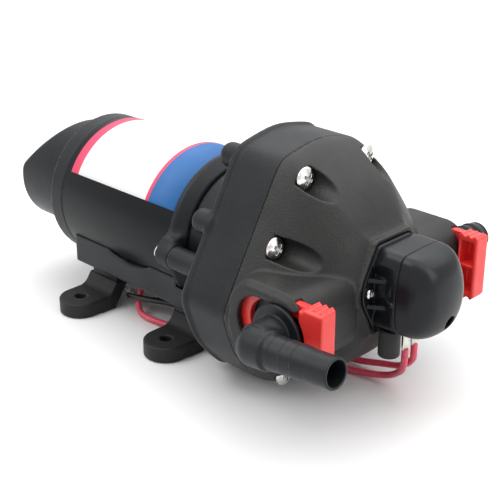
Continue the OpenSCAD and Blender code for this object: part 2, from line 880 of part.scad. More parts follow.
// The plug end that the clip holds, on the near side, as a profile turned about the port axis
module plug() {
    tip = -slot_y + flange_w + socket_depth - 1;
    collar_t = 2.2;
    rod_y(plug_d / 2, -slot_y + flange_w - 0.5, ring_y - 1, port_x, port_z);
    rod_y(groove_floor, ring_y - 2 * join, ring_y + 2 * join, port_x, port_z);
    rod_y(plug_d / 2, ring_y + 1, tip, port_x, port_z);
    rod_y(flange_d / 2, -slot_y, -slot_y + flange_w, port_x, port_z);
    rod_y(neck_groove_d / 2, collar_y - join, -slot_y + join, port_x, port_z);
    rod_y(collar_d / 2, collar_y - collar_t, collar_y, port_x, port_z);
}

// Ribbed hose end from z = 0 to length, tapering to the tip
module barb(length, root_d, ribbed) {
    step = ribbed / rib_count;
    drop = 0.45;
    profile = concat([[0, 0], [root_d / 2, 0], [root_d / 2, length - ribbed]],
        [for (i = [0 : rib_count - 1]) let (z = length - ribbed + i * step,
            r = root_d / 2 + (barb_d / 2 - root_d / 2) * i / rib_count)
            each [[r, z + 0.3], [r - drop, z + step - 0.6], [r - drop, z + step]]], [[0, length]]);
    rotate_extrude()
        polygon(profile);
}

elbow_y = -port_y - elbow_out;
plug_tip_y = -slot_y + flange_w + socket_depth - 1;

module at_elbow_leg() {
    translate([port_x, elbow_y, axis_h + port_z])
        rotate([0, 90 - elbow_turn, 0])
            children();
}

module elbow_barb() {
    color("#2c2e30")
        difference() {
            union() {
                plug();
                rod_y(elbow_d / 2, elbow_y, collar_y - join, port_x, port_z);
                translate([port_x, elbow_y, axis_h + port_z])
                    sphere(d = elbow_d);
                at_elbow_leg()
                    barb(elbow_leg, elbow_d, elbow_leg * 0.62);
            }
            rod_y(barb_bore / 2, elbow_y, plug_tip_y + cut, port_x, port_z);
            translate([port_x, elbow_y, axis_h + port_z])
                sphere(d = barb_bore);
            at_elbow_leg()
                cylinder(d = barb_bore, h = elbow_leg + cut);
        }
}

module straight_barb() {
    color("#2c2e30")
        mirror([0, 1, 0])
            difference() {
                union() {
                    plug();
                    translate([port_x, -port_y, axis_h + port_z])
                        rotate([90, 0, 0])
                            barb(straight_reach, elbow_d, straight_reach * 0.75);
                }
                rod_y(barb_bore / 2, -port_y - straight_reach - cut, plug_tip_y + cut, port_x, port_z);
            }
}

module o_ring() {
    color("#151515")
        translate([port_x, ring_y, axis_h + port_z])
            rotate([90, 0, 0])
                rotate_extrude()
                    translate([ring_r, 0])
                        circle(d = ring_section, $fn = 32);
}

module near_o_ring() {
    o_ring();
}

module far_o_ring() {
    mirror([0, 1, 0])
        o_ring();
}

// Pressure switch

ear_round = 2;
switch_screw_d = 2.4;
switch_screw_y = 13.3;
flange_t = 2.5;
shelf_t = 1.5;
shelf_x = switch_x + 9;
tab_t = 0.8;
tab_w = 4;
tab_x = switch_x + 8.2;
tab_y = [1.5, 7];
bottom_z = switch_z - switch_h / 2;
tab_drop = 8.5;
adjust_y = 5;
adjust_z = -6;
adjust_d = 4;

module switch_base() {
    pocket_h = 9.2;
    pocket_y = 11;
    rib_t = 1.5;
    color("#2d3033")
        difference() {
            union() {
                across_x(switch_x + flange_t, seam_x)
                    polygon(switch_outline(0, 7));
                across_x(switch_x, switch_x + flange_t + join)
                    polygon(ear_outline(0, ear_round));
            }
            difference() {
                across_x(switch_x + flange_t, seam_x + cut)
                    polygon(switch_outline(-switch_wall, 5));
                for (s = [-1, 1])
                    block(switch_x, seam_x, min(s * (pocket_y - rib_t), s * switch_w),
                        max(s * (pocket_y - rib_t), s * switch_w),
                        switch_z - pocket_h / 2 - rib_t, switch_z + pocket_h / 2 + rib_t);
                difference() {
                    block(shelf_x, shelf_x + shelf_t, -20, 20, bottom_z, switch_z + switch_h / 2);
                    rod_x(plunger_d / 2 + 0.5, shelf_x - cut, shelf_x + shelf_t + cut, 0, switch_z);
                }
            }
            for (s = [-1, 1]) {
                block(switch_x + flange_t, seam_x - rib_t, min(s * pocket_y, s * switch_w),
                    max(s * pocket_y, s * switch_w),
                    switch_z - pocket_h / 2, switch_z + pocket_h / 2);
                rod_x(switch_screw_d / 2 + fit, switch_x - cut, switch_x + flange_t + cut,
                    s * switch_screw_y, switch_z);
            }
            rod_x(plunger_d / 2 + run, switch_x - cut, switch_x + flange_t + cut, 0, switch_z);
            rod_x(adjust_d / 2 + fit, shelf_x - cut, shelf_x + shelf_t + cut, adjust_y, adjust_z);
            for (y = tab_y)
                block(tab_x - fit, tab_x + tab_t + fit, y - tab_w / 2 - fit, y + tab_w / 2 + fit,
                    bottom_z - cut, bottom_z + switch_wall + cut);
        }
}

module switch_cap() {
    color("#2f3235")
        difference() {
            hull() {
                across_x(seam_x, seam_x + switch_cap_len * 0.45)
                    polygon(switch_outline(0, 7));
                across_x(seam_x, seam_x + switch_cap_len * 0.8)
                    polygon(switch_outline(-2.2, 7));
                across_x(seam_x, nose_x)
                    polygon(switch_outline(-6, 6));
            }
            across_x(seam_x - cut, seam_x + switch_cap_len * 0.45)
                polygon(switch_outline(-switch_wall, 5));
            across_x(seam_x, nose_x - 2.4)
                polygon(switch_outline(-7, 4));
            rod_x(adjust_d / 2 + 0.4, seam_x, nose_x + cut, adjust_y, adjust_z);
        }
}

module switch_diaphragm() {
    color("#1f2021")
        rod_x(sense_r, switch_x - sense_depth, switch_x, 0, switch_z);
}

plunger_flange_d = 12;
plunger_gap = 0.4;

module switch_plunger() {
    color("#d9d5c8")
        union() {
            rod_x(plunger_d / 2, switch_x + fit, shelf_x - plunger_travel - plunger_gap, 0, switch_z);
            rod_x(plunger_flange_d / 2, switch_x + flange_t + fit, switch_x + flange_t + 1.2, 0, switch_z);
        }
}

// A helical wire as one unbroken tube
module helix(r, wire, pitch_len, turns) {
    sides = 6;
    rings = turns * 8;
    pts = [for (i = [0 : rings], k = [0 : sides - 1]) let (a = 360 * turns * i / rings, b = 360 * k / sides)
        [pitch_len * i / rings + wire / 2 * sin(b), (r + wire / 2 * cos(b)) * cos(a),
            (r + wire / 2 * cos(b)) * sin(a)]];
    sweep_hull(pts, rings + 1, sides);
}

// Joins rings of points into one closed tube
module sweep_hull(pts, rings, sides) {
    walls = [for (i = [0 : rings - 2], k = [0 : sides - 1]) let (a = i * sides + k,
        b = i * sides + (k + 1) % sides) each [[a, b, a + sides], [b, b + sides, a + sides]]];
    near_end = [for (k = [1 : sides - 2]) [0, k + 1, k]];
    last = (rings - 1) * sides;
    far_end = [for (k = [1 : sides - 2]) [last, last + k, last + k + 1]];
    polyhedron(points = pts, faces = concat(walls, near_end, far_end));
}

module switch_spring() {
    start_x = switch_x + flange_t + 1.2 + spring_wire / 2 + 0.1;
    end_x = shelf_x - spring_wire / 2 - 0.1;
    color("#b9bcc0")
        translate([start_x, 0, axis_h + switch_z])
            helix(plunger_d / 2 + 0.5 + spring_wire / 2, spring_wire, end_x - start_x, spring_turns);
}

module microswitch() {
    micro = [8, 16, 11];
    color("#7a2f2a")
        block(shelf_x + shelf_t, shelf_x + shelf_t + micro[0], -micro[1] / 2, micro[1] / 2,
            switch_z - micro[2] / 2, switch_z + micro[2] / 2);
}

module calibration_screw() {
    color("#c9ccd0")
        rod_x(adjust_d / 2, shelf_x + 0.2, seam_x + switch_cap_len * 0.5, adjust_y, adjust_z);
}

module switch_screws() {
    head_d = 3.8;
    head_h = 1.5;
    bite = 4;
    color("#d8dadc")
        for (s = [-1, 1]) {
            rod_x(head_d / 2, switch_x + flange_t, switch_x + flange_t + head_h, s * switch_screw_y, switch_z);
            rod_x(switch_screw_d / 2, switch_x - bite, switch_x + flange_t + join, s * switch_screw_y,
                switch_z);
        }
}

module terminal_block() {
    block_w = 6;
    block_span = 8;
    side_gap = 2;
    color("#1d1e20")
        block(tab_x + side_gap - block_w, tab_x + side_gap, tab_y[0] - tab_w / 2 - side_gap - block_span,
            tab_y[0] - tab_w / 2 - side_gap, bottom_z - tab_drop, bottom_z);
}

module terminal_tabs() {
    color("#cfd2d4")
        difference() {
            for (y = tab_y)
                block(tab_x, tab_x + tab_t, y - tab_w / 2, y + tab_w / 2, bottom_z - tab_drop,
                    bottom_z + switch_wall + 2);
            rod_x(terminal_screw_d / 2 + fit, tab_x - cut, tab_x + tab_t + cut, tab_y[1], terminal_screw_z);
        }
}

terminal_screw_d = 2;
terminal_head_d = 4;
terminal_head_h = 1.6;
terminal_bite = 2.4;
terminal_screw_z = bottom_z - 4.4;

module terminal_screw() {
    color("#e2e4e6")
        union() {
            rod_x(terminal_head_d / 2, tab_x + tab_t, tab_x + tab_t + terminal_head_h, tab_y[1],
                terminal_screw_z);
            rod_x(terminal_screw_d / 2, tab_x - terminal_bite, tab_x + tab_t + join, tab_y[1],
                terminal_screw_z);
        }
}

// Base

strap_z = axis_h - can_r - strap_t;
saddle_front_x = bowl_x;
foot_x = foot_pitch_x / 2;
foot_y = foot_pitch_y / 2;

module base_saddle() {
    strap_web = 2.4;
    strap_half_y = sqrt(can_r * can_r - skirt_low * skirt_low) + strap_web;
    scoop_r = can_d / 2;
    scoop_x = 1.5;
    color("#2b2d2f")
        difference() {
            union() {
                block(saddle_rear_x, saddle_front_x, -saddle_w / 2, saddle_w / 2, -skirt_low, -skirt_high);
                for (x = [-foot_x, foot_x])
                    block(max(saddle_rear_x, x - foot_w / 2), x + foot_w / 2, -strap_half_y, strap_half_y,
                        strap_z - axis_h, join - skirt_low);
            }
            rod_y(scoop_r, -saddle_w / 2 - cut, saddle_w / 2 + cut, scoop_x,
                scoop_r - skirt_high - scoop_depth);
            rod_x(can_r + run, saddle_rear_x - cut, can_front_x + 0.2);
            rod_x(bell_d / 2 + room, can_front_x - 0.1, bell_x + room);
            rod_x(neck_d / 2 + fit, bell_x, saddle_front_x + cut);
            for (x = saddle_screw_x)
                translate([x, 0, strap_z - cut])
                    cylinder(d = saddle_screw_d + 2 * fit, h = 2 * strap_t);
        }
}

module saddle_screws() {
    head_d = 5.6;
    head_h = 1.8;
    color("#d8dadc")
        for (x = saddle_screw_x) {
            translate([x, 0, strap_z - head_h])
                cylinder(d = head_d, h = head_h);
            translate([x, 0, strap_z - join])
                cylinder(d = saddle_screw_d, h = strap_t + can_wall + cut);
        }
}

// A rubber foot on the near side, with its hole at x
module foot(x) {
    arm_in = 12;
    arm_t = 7;
    knee_y = foot_y - 6;
    color("#1e1f20")
        difference() {
            union() {
                translate([x, -foot_y, 0])
                    cylinder(d = foot_w, h = pad_t);
                translate([x - foot_w / 2, -foot_y, 0])
                    cube([foot_w, foot_y - knee_y + 5, pad_t]);
                translate([x + foot_w / 2, 0, 0])
                    rotate([90, 0, -90])
                        linear_extrude(foot_w)
                            polygon([[knee_y - 5, 0], [knee_y, 0], [knee_y, pad_t],
                                [arm_in + arm_t, strap_z], [arm_in, strap_z]]);
            }
            translate([x, -foot_y, -cut])
                cylinder(d = foot_hole_d, h = pad_t + 2 * cut);
        }
}

module foot_near_rear() {
    foot(-foot_x);
}

module foot_near_front() {
    foot(foot_x);
}

module foot_far_rear() {
    mirror([0, 1, 0])
        foot(-foot_x);
}

module foot_far_front() {
    mirror([0, 1, 0])
        foot(foot_x);
}

// Leads

module lead_grommet() {
    color("#151617")
        union() {
            translate([grommet_x, 0, axis_h - can_r - grommet_h])
                cylinder(d = grommet_d, h = grommet_h);
            translate([grommet_x, 0, axis_h - can_r - 0.5])
                cylinder(d = grommet_neck_d, h = can_r - tail_in);
        }
}

// Ends of the leads: under the switch's tabs and under the grommet
tab_end = [tab_x + tab_t / 2, 0, axis_h + bottom_z - tab_drop - room];
grommet_end = [grommet_x, 0, axis_h - can_r - grommet_h - fit];
lead_gap = 3;

// Routes of the leads on the floor and under the motor, each point chosen by hand, in absolute millimetres
red_link_way = [[117.5, 4, 15], [113, 8, 9], [105, 10, 3.5], [92, 7, 1.6], [68, 2, 1.6], [40, -8, 1.6],
    [24, -14, 1.6], [10, -18.5, 1.6], [-2, -19.5, 2], [-7.5, -16.5, 5], [-10, -12.5, 9.5], [-14, -9, 10.5],
    [-20, -6, 8], [-28, -1, 4.4], [-35, 2, 3.4], [-38.5, 2.8, 4.4], [-41, 3, 6.9]];
red_supply_way = [[117, 10, 15], [110, 13, 8.5], [100, 14, 5], [88, 13, 2.4], [70, 10, 1.6], [56, 14, 1.6],
    [48, 28, 1.6], [45, 46, 1.6], [33, 66, 1.6], [4, 78, 1.6], [-28, 79, 1.6]];
black_supply_way = [[-41, -3.4, 6.9], [-38.5, -4.4, 4.4], [-35, -6, 3.4], [-26, -10, 3.8], [-19, -12.5, 4.5],
    [-13, -17, 6.5], [-4, -17, 7.8], [7, -12, 7.8], [20, -4, 5], [34, 4, 2], [41, 16, 1.6], [39, 36, 1.6],
    [27, 56, 1.6], [0, 66, 1.6], [-30, 67, 1.6]];
red_link_route = concat([tab_end + [0, tab_y[0], 0], tab_end + [0, tab_y[0], -lead_gap]], red_link_way,
    [grommet_end + [0, lead_gap, -cut], grommet_end + [0, lead_gap, 0]]);
red_supply_route = concat([tab_end + [0, tab_y[1], 0], tab_end + [0, tab_y[1], -lead_gap]], red_supply_way);
black_supply_route = concat([grommet_end - [0, lead_gap, 0], grommet_end - [0, lead_gap, cut]],
    black_supply_way);

function spline_at(p, i, t) = let (n = len(p) - 1, a = p[max(0, i - 1)], b = p[i], c = p[i + 1],
    d = p[min(n, i + 2)]) 0.5 * ((2 * b) + (c - a) * t + (2 * a - 5 * b + 4 * c - d) * t * t
    + (3 * b - a - 3 * c + d) * t * t * t);
function smooth(p, n) = concat([for (i = [0 : len(p) - 2], k = [0 : n - 1]) spline_at(p, i, k / n)],
    [p[len(p) - 1]]);
function unit(v) = v / norm(v);
function way(p, i) = unit(p[min(len(p) - 1, i + 1)] - p[max(0, i - 1)]);
function across(u, t) = unit(u - t * (u * t));

module lead(route) {
    sides = 8;
    p = smooth(route, 2);
    ups = [for (i = 0, u = across([0.2, 1, 0.3], way(p, 0)); i < len(p);
        i = i + 1, u = across(u, way(p, min(i, len(p) - 1)))) u];
    pts = [for (i = [0 : len(p) - 1], k = [0 : sides - 1]) let (t = way(p, i), u = across(ups[i], t),
        v = cross(t, u), a = 360 * k / sides) p[i] + lead_d / 2 * (u * cos(a) + v * sin(a))];
    sweep_hull(pts, len(p), sides);
}

module red_link_lead() {
    color("#d8283c")
        lead(red_link_route);
}

module red_supply_lead() {
    color("#d8283c")
        lead(red_supply_route);
}

module black_supply_lead() {
    color("#1a1b1c")
        lead(black_supply_route);
}

tail_cap();
motor_can();
rating_label();
field_magnet(90);  // field_magnet_near
field_magnet(-90);  // field_magnet_far
rear_bush();
brush_plate();
carbon_brushes();
commutator();
motor_shaft();
armature_core();
armature_coils();
front_bell();
front_bearing();
motor_screws();
drive_housing();
base_saddle();
saddle_screws();
foot_near_rear();
foot_near_front();
foot_far_rear();
foot_far_front();
cam_hub();
cam_bearing();
wobble_plate();
piston_caps();
piston_screws();
diaphragm();
valve_plate();
inlet_valves();
outlet_valve();
pump_head();
head_screws();
near_clip();
far_clip();
elbow_barb();
straight_barb();
near_o_ring();
far_o_ring();
switch_base();
switch_cap();
switch_diaphragm();
switch_plunger();
switch_spring();
microswitch();
calibration_screw();
switch_screws();
terminal_block();
terminal_tabs();
terminal_screw();
lead_grommet();
red_link_lead();
red_supply_lead();
black_supply_lead();
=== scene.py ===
import math
import bpy
import numpy as np
from numpy import arange, clip, hypot, maximum, minimum, stack, vstack
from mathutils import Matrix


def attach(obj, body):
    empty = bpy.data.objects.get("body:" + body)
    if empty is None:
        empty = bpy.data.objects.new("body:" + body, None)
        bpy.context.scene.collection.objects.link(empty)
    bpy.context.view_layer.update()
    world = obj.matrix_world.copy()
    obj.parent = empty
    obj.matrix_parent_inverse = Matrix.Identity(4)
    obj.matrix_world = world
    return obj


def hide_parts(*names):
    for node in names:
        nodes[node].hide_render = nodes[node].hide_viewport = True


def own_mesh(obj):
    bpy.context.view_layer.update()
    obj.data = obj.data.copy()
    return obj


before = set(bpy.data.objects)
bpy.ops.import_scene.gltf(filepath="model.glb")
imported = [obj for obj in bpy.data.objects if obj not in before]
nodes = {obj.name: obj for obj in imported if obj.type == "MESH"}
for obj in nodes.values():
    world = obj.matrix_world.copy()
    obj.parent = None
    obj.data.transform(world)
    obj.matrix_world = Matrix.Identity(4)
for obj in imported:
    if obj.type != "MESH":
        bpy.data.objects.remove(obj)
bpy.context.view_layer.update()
scene = bpy.context.scene
axisHeight = 45.5  # motor axis above the feet, mm; the shapes below measure z from this axis


def addObject(name, data):
    obj = bpy.data.objects.new(name, data)
    scene.collection.objects.link(obj)
    return obj


# Camera

cameraSet = {"place": (0.32857, -0.29226, 0.21996), "down": 23.82, "azimuth": 44.35, "lens": 80.9, "sensor": 36,
             "near": 0.01}


def makeCamera():
    data = bpy.data.cameras.new("camera")
    data.lens = cameraSet["lens"]
    data.sensor_width = cameraSet["sensor"]
    data.clip_start = cameraSet["near"]
    cam = addObject("camera", data)
    cam.location = cameraSet["place"]
    cam.rotation_euler = (math.radians(90 - cameraSet["down"]), 0, math.radians(cameraSet["azimuth"]))
    scene.camera = cam


makeCamera()
print("camera set")

# Materials


def linear(code):
    # sRGB hex to linear: the standard curve on each channel
    c = np.array([int(code[i:i + 2], 16) for i in (1, 3, 5)]) / 255
    c = np.where(c <= 0.04045, c / 12.92, ((c + 0.055) / 1.055) ** 2.4)
    return (*c.tolist(), 1.0)


def addNode(tree, kind, settings=None, **inputs):
    node = tree.nodes.new("ShaderNode" + kind)
    for key, value in (settings or {}).items():
        setattr(node, key, value)
    for key, value in inputs.items():
        numbered = key[0] == "i" and key[1:].isdigit()
        socket = node.inputs[int(key[1:]) if numbered else key.replace("_", " ")]
        if isinstance(value, bpy.types.NodeSocket):
            tree.links.new(value, socket)
        else:
            socket.default_value = value
    return node


def startMaterial(name):
    mat = bpy.data.materials.new(name)
    mat.use_nodes = True
    tree = mat.node_tree
    tree.nodes.clear()
    shader = addNode(tree, "BsdfPrincipled")
    addNode(tree, "OutputMaterial", Surface=shader.outputs[0])
    place = addNode(tree, "TexCoord").outputs["Object"]
    return mat, tree, shader, place


def wire(tree, shader, tone, gloss, bump=None):
    tree.links.new(tone, shader.inputs["Base Color"])
    tree.links.new(gloss.outputs[0], shader.inputs["Roughness"])
    if bump:
        tree.links.new(bump.outputs[0], shader.inputs["Normal"])


def perMm(mm):
    # texture scale whose features are about this many millimetres wide
    return 1000.0 / mm


def ramp(tree, factor, stops, how="LINEAR"):
    node = addNode(tree, "ValToRGB", Fac=factor)
    node.color_ramp.interpolation = how
    for i, (at, colour) in enumerate(stops):
        stop = node.color_ramp.elements[i] if i < 2 else node.color_ramp.elements.new(at)
        stop.position = at
        stop.color = colour
    return node.outputs[0]


grainSet = {"cloudDetail": 5.0, "cloudRough": 0.6, "fineDetail": 3.0, "fineShare": 0.35, "dark": 0.34, "pale": 0.66,
            "edgeWearAndHighlightFrom": 0.52, "edgeWearAndHighlightTo": 0.6, "edgeWearAndHighlightMost": 0.55, "glossFrom": 0.3, "glossTo": 0.75, "swing": 0.05,
            "relief": 0.0004, "coatRough": 0.25}


def grained(name, dark, pale, rough, grain, depth, patch, coat=0.0, shine=0.5, sheen=0.0, edgeWearAndHighlight=None):
    # moulded or painted: cloudy tone, fine grain in the relief, uneven gloss, paler edges: wear plus painted
    # highlight;
    # rough is the mean roughness, grain and patch are sizes in mm, depth is the relief's strength
    g = grainSet
    mat, tree, shader, place = startMaterial(name)
    clouds = addNode(tree, "TexNoise", Vector=place, Scale=perMm(patch), Detail=g["cloudDetail"],
                     Roughness=g["cloudRough"])
    fine = addNode(tree, "TexNoise", Vector=place, Scale=perMm(grain), Detail=g["fineDetail"])
    both = addNode(tree, "Mix", i0=g["fineShare"], i2=clouds.outputs["Fac"], i3=fine.outputs["Fac"])
    tone = ramp(tree, both.outputs[0], [(g["dark"], linear(dark)), (g["pale"], linear(pale))])
    # sharp edges turn paler: partly edge wear, partly a painted highlight along the edges
    if edgeWearAndHighlight:
        sharp = addNode(tree, "NewGeometry").outputs["Pointiness"]
        edge = addNode(tree, "MapRange", Value=sharp, i1=g["edgeWearAndHighlightFrom"], i2=g["edgeWearAndHighlightTo"], i3=0.0,
                       i4=g["edgeWearAndHighlightMost"])
        tone = addNode(tree, "Mix", {"data_type": "RGBA"}, i0=edge.outputs[0], i6=tone,
                       i7=linear(edgeWearAndHighlight)).outputs[2]
    gloss = addNode(tree, "MapRange", Value=clouds.outputs["Fac"], i1=g["glossFrom"], i2=g["glossTo"],
                    i3=rough + g["swing"], i4=rough - g["swing"])
    bump = addNode(tree, "Bump", Height=fine.outputs["Fac"], Strength=depth, Distance=grain * g["relief"])
    wire(tree, shader, tone, gloss, bump)
    shader.inputs["Specular IOR Level"].default_value = shine
    shader.inputs["Coat Weight"].default_value = coat
    shader.inputs["Coat Roughness"].default_value = g["coatRough"]
    shader.inputs["Sheen Weight"].default_value = sheen
    return mat


metalSet = {"detail": 4.0, "dark": 0.35, "pale": 0.65, "glossFrom": 0.3, "glossTo": 0.7, "swing": 0.12}


def metal(name, dark, pale, rough, patch):
    # plated or ground metal: bright, with faint cloudy wear in tone and gloss; rough is where it is smoothest
    m = metalSet
    mat, tree, shader, place = startMaterial(name)
    clouds = addNode(tree, "TexNoise", Vector=place, Scale=perMm(patch), Detail=m["detail"])
    tone = ramp(tree, clouds.outputs["Fac"], [(m["dark"], linear(dark)), (m["pale"], linear(pale))])
    gloss = addNode(tree, "MapRange", Value=clouds.outputs["Fac"], i1=m["glossFrom"], i2=m["glossTo"],
                    i3=rough, i4=rough + m["swing"])
    wire(tree, shader, tone, gloss)
    shader.inputs["Metallic"].default_value = 1.0
    return mat


# glass-filled nylon, spark-eroded mould: dull satin with a fine even grain and grey bloom
nylonHead = grained("glassFilledNylonHead", "#151515", "#2d2d2c", 0.46, 0.7, 0.5, 26.0, shine=0.3, edgeWearAndHighlight="#4a4a49")
# the same nylon on the drive housing, a little darker as painted shade, and a little smoother
nylonHousingShaded = grained("glassFilledNylonHousingShaded", "#131518", "#25282b", 0.43, 0.6, 0.35, 30.0, shine=0.22,
                       edgeWearAndHighlight="#3c4043")
# polyamide fittings and straps, smooth mould: soft highlights
nylonFitting = grained("polyamideFitting", "#121417", "#22262a", 0.38, 0.5, 0.22, 16.0, shine=0.24, edgeWearAndHighlight="#34383b")
# ABS switch shell, polished mould: clear soft reflections
absShell = grained("absSwitchShell", "#121418", "#1b1e22", 0.31, 0.5, 0.12, 14.0, shine=0.24)
# epoxy paint over drawn steel: even satin with slight orange peel
epoxyPaint = grained("epoxyPaintedSteel", "#0d0f13", "#131619", 0.30, 1.4, 0.08, 30.0, shine=0.16)
# nitrile rubber: matt, dusty bloom
nitrile = grained("nitrileRubber", "#0f1011", "#171818", 0.60, 0.7, 0.35, 9.0, shine=0.4, sheen=0.05)
# acetal coloured in the mass: bright red, waxy gloss
acetalRed = grained("acetalRed", "#fb322f", "#ff4743", 0.34, 0.6, 0.12, 10.0, coat=0.15)
# PVC insulation, extruded: smooth, slightly waxy
pvcRed = grained("pvcInsulationRed", "#f64b66", "#ff6c83", 0.36, 0.9, 0.12, 12.0)
pvcBlack = grained("pvcInsulationBlack", "#161718", "#1f2021", 0.38, 0.9, 0.12, 12.0)
# zinc-plated and polished screws: bright, near mirror
platedSteel = metal("platedSteelScrew", "#c9c8c4", "#eeeeec", 0.14, 2.0)
# tinned brass tabs
tinnedBrass = metal("tinnedBrass", "#b9b7ae", "#d8d6cd", 0.28, 2.5)
# bare copper: drawn wire and turned segments, soft sheen
bareCopper = metal("bareCopper", "#a85f35", "#c98253", 0.3, 1.2)
# ground steel: shaft, laminations, bearings and spring
groundSteel = metal("groundSteel", "#a9abac", "#c6c8c9", 0.25, 4.0)
# die-cast zinc, left raw: dull grey
castZinc = metal("castZinc", "#7e8184", "#96999c", 0.42, 2.0)
# sintered bronze: porous and matt
bronze = metal("sinteredBronze", "#8f6f42", "#b08d57", 0.45, 0.8)
# sintered ferrite and carbon: dark, dry grain
ferrite = grained("ferriteMagnet", "#3c3e40", "#4e5153", 0.6, 0.4, 0.3, 6.0)
# acetal in its natural colour: ivory, waxy
acetalPale = grained("acetalNatural", "#cfcabc", "#e0dccf", 0.4, 0.6, 0.12, 8.0)
# phenolic paper board, brown, and the moulded red case of the microswitch
phenolic = grained("phenolicBoard", "#4f3b29", "#65503a", 0.5, 0.8, 0.25, 5.0)
phenolicRed = grained("phenolicCase", "#6d2a25", "#863631", 0.45, 0.8, 0.2, 5.0)

labelSet = {"rear": -34.8, "front": 29.2, "edge": 0.05, "stations": (-32, -30, 0, 12, 14), "skin": 31.03,
            "thick": 0.2, "reach": 62, "points": 97, "patch": 9.0, "noise": (0.3, 0.7), "rough": (0.46, 0.54),
            "depth": 0.03, "bands": [(-34.8, "#e8486c"), (-30.2, "#f6f6f6"), (12.1, "#e04462"), (13.9, "#1a62a3")]}


def printedFilm(name):
    # printed polyester label: satin film over four flat colours, set out along the barrel
    b = labelSet
    mat, tree, shader, place = startMaterial(name)
    along = addNode(tree, "SeparateXYZ", Vector=place).outputs[0]
    share = addNode(tree, "MapRange", Value=along, i1=b["rear"] / 1000, i2=b["front"] / 1000)
    stops = [((x - b["rear"]) / (b["front"] - b["rear"]), linear(c)) for x, c in b["bands"]]
    tone = ramp(tree, share.outputs[0], stops, "CONSTANT")
    fine = addNode(tree, "TexNoise", Vector=place, Scale=perMm(b["patch"]), Detail=2.0)
    low, high = b["noise"]
    smooth, dull = b["rough"]
    gloss = addNode(tree, "MapRange", Value=fine.outputs["Fac"], i1=low, i2=high, i3=smooth, i4=dull)
    bump = addNode(tree, "Bump", Height=fine.outputs["Fac"], Strength=b["depth"], Distance=0.0001)
    wire(tree, shader, tone, gloss, bump)
    return mat


labelFilm = printedFilm("printedPolyesterLabel")


def dress(obj, mat):
    obj.data.materials.clear()
    obj.data.materials.append(mat)


# Leads come first: each follows the points of its solid, smoothed in the same way

leadSet = {
    "diameter": 2.6, "perSpan": 8,
    "redLink": [(119.6, 1.5, 23.7), (119.6, 1.5, 20.7), (117.5, 4, 15), (113, 8, 9), (105, 10, 3.5), (92, 7, 1.6),
                (68, 2, 1.6), (40, -8, 1.6), (24, -14, 1.6), (10, -18.5, 1.6), (-2, -19.5, 2), (-7.5, -16.5, 5),
                (-10, -12.5, 9.5), (-14, -9, 10.5), (-20, -6, 8), (-28, -1, 4.4), (-35, 2, 3.4), (-38.5, 2.8, 4.4),
                (-41, 3, 6.9), (-42, 3, 10.5), (-42, 3, 11.5)],
    "redSupply": [(119.6, 7, 23.7), (119.6, 7, 20.7), (117, 10, 15), (110, 13, 8.5), (100, 14, 5), (88, 13, 2.4),
                  (70, 10, 1.6), (56, 14, 1.6), (48, 28, 1.6), (45, 46, 1.6), (33, 66, 1.6), (4, 78, 1.6),
                  (-28, 79, 1.6)],
    "blackSupply": [(-42, -3, 11.5), (-42, -3, 10.5), (-41, -3.4, 6.9), (-38.5, -4.4, 4.4), (-35, -6, 3.4),
                    (-26, -10, 3.8), (-19, -12.5, 4.5), (-13, -17, 6.5), (-4, -17, 7.8), (7, -12, 7.8), (20, -4, 5),
                    (34, 4, 2), (41, 16, 1.6), (39, 36, 1.6), (27, 56, 1.6), (0, 66, 1.6), (-30, 67, 1.6)],
}


def smoothRoute(route, per):
    # Catmull-Rom curve through the points, with the end points doubled
    p = np.array(route, float)
    p = vstack([p[:1], p, p[-1:]])
    t = (arange(per) / per)[:, None]
    a, b, c, d = (p[i:len(p) - 3 + i, None, :] for i in range(4))
    q = 0.5 * (2 * b + (c - a) * t + (2 * a - 5 * b + 4 * c - d) * t ** 2 + (3 * b - a - 3 * c + d) * t ** 3)
    return vstack([q.reshape(-1, 3), p[-1:]])


def addCurve(name, lines, thick, finish, mat):
    # round wire along each row of points
    data = bpy.data.curves.new(name, "CURVE")
    data.dimensions = "3D"
    data.bevel_depth = thick / 2000
    data.bevel_resolution = finish
    data.use_fill_caps = True
    for p in lines:
        line = data.splines.new("POLY")
        line.points.add(len(p) - 1)
        line.points.foreach_set("co", np.c_[p, np.ones(len(p))].ravel())
        line.use_smooth = True
    obj = addObject(name, data)
    dress(obj, mat)
    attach(obj, "base")
    return obj


strandSet = {"strip": 6.0, "sunk": 1.0, "wires": 7, "wire": 0.48, "lay": 0.46, "points": 13, "twist": 500}


def makeStrands(name, fine):
    # stripped end: fine wires laid round one, twisted along the lead's last direction
    b = strandSet
    way = fine[-1] - fine[-2]
    way /= np.linalg.norm(way)
    side = np.cross(way, (0, 0, 1))
    up = np.cross(side, way)
    along = np.linspace(-b["sunk"] / 1000, b["strip"] / 1000, b["points"])
    lines = []
    for k in range(b["wires"]):
        turn = k * np.pi / 3 + along * b["twist"]
        lay = 0.0 if k == b["wires"] - 1 else b["lay"] / 1000
        coil = np.cos(turn)[:, None] * side + np.sin(turn)[:, None] * up
        lines.append(fine[-1] + along[:, None] * way + lay * coil)
    obj = addCurve(name, lines, b["wire"], 2, bareCopper)
    return obj


def makeLead(name, route, mat, node, farEnd):
    fine = smoothRoute(route, leadSet["perSpan"]) / 1000
    obj = addCurve(name, [fine], leadSet["diameter"], 5, mat)
    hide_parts(node)
    ends = [makeStrands(name + "End", fine)] if farEnd == "bare" else []


makeLead("redLinkLead", leadSet["redLink"], pvcRed, "red_link_lead", "object")
makeLead("redSupplyLead", leadSet["redSupply"], pvcRed, "red_supply_lead", "bare")
makeLead("blackSupplyLead", leadSet["blackSupply"], pvcBlack, "black_supply_lead", "bare")
print("leads laid")

# Meshes: a moulded piece is the zero surface of a distance field, worked out on a whole grid


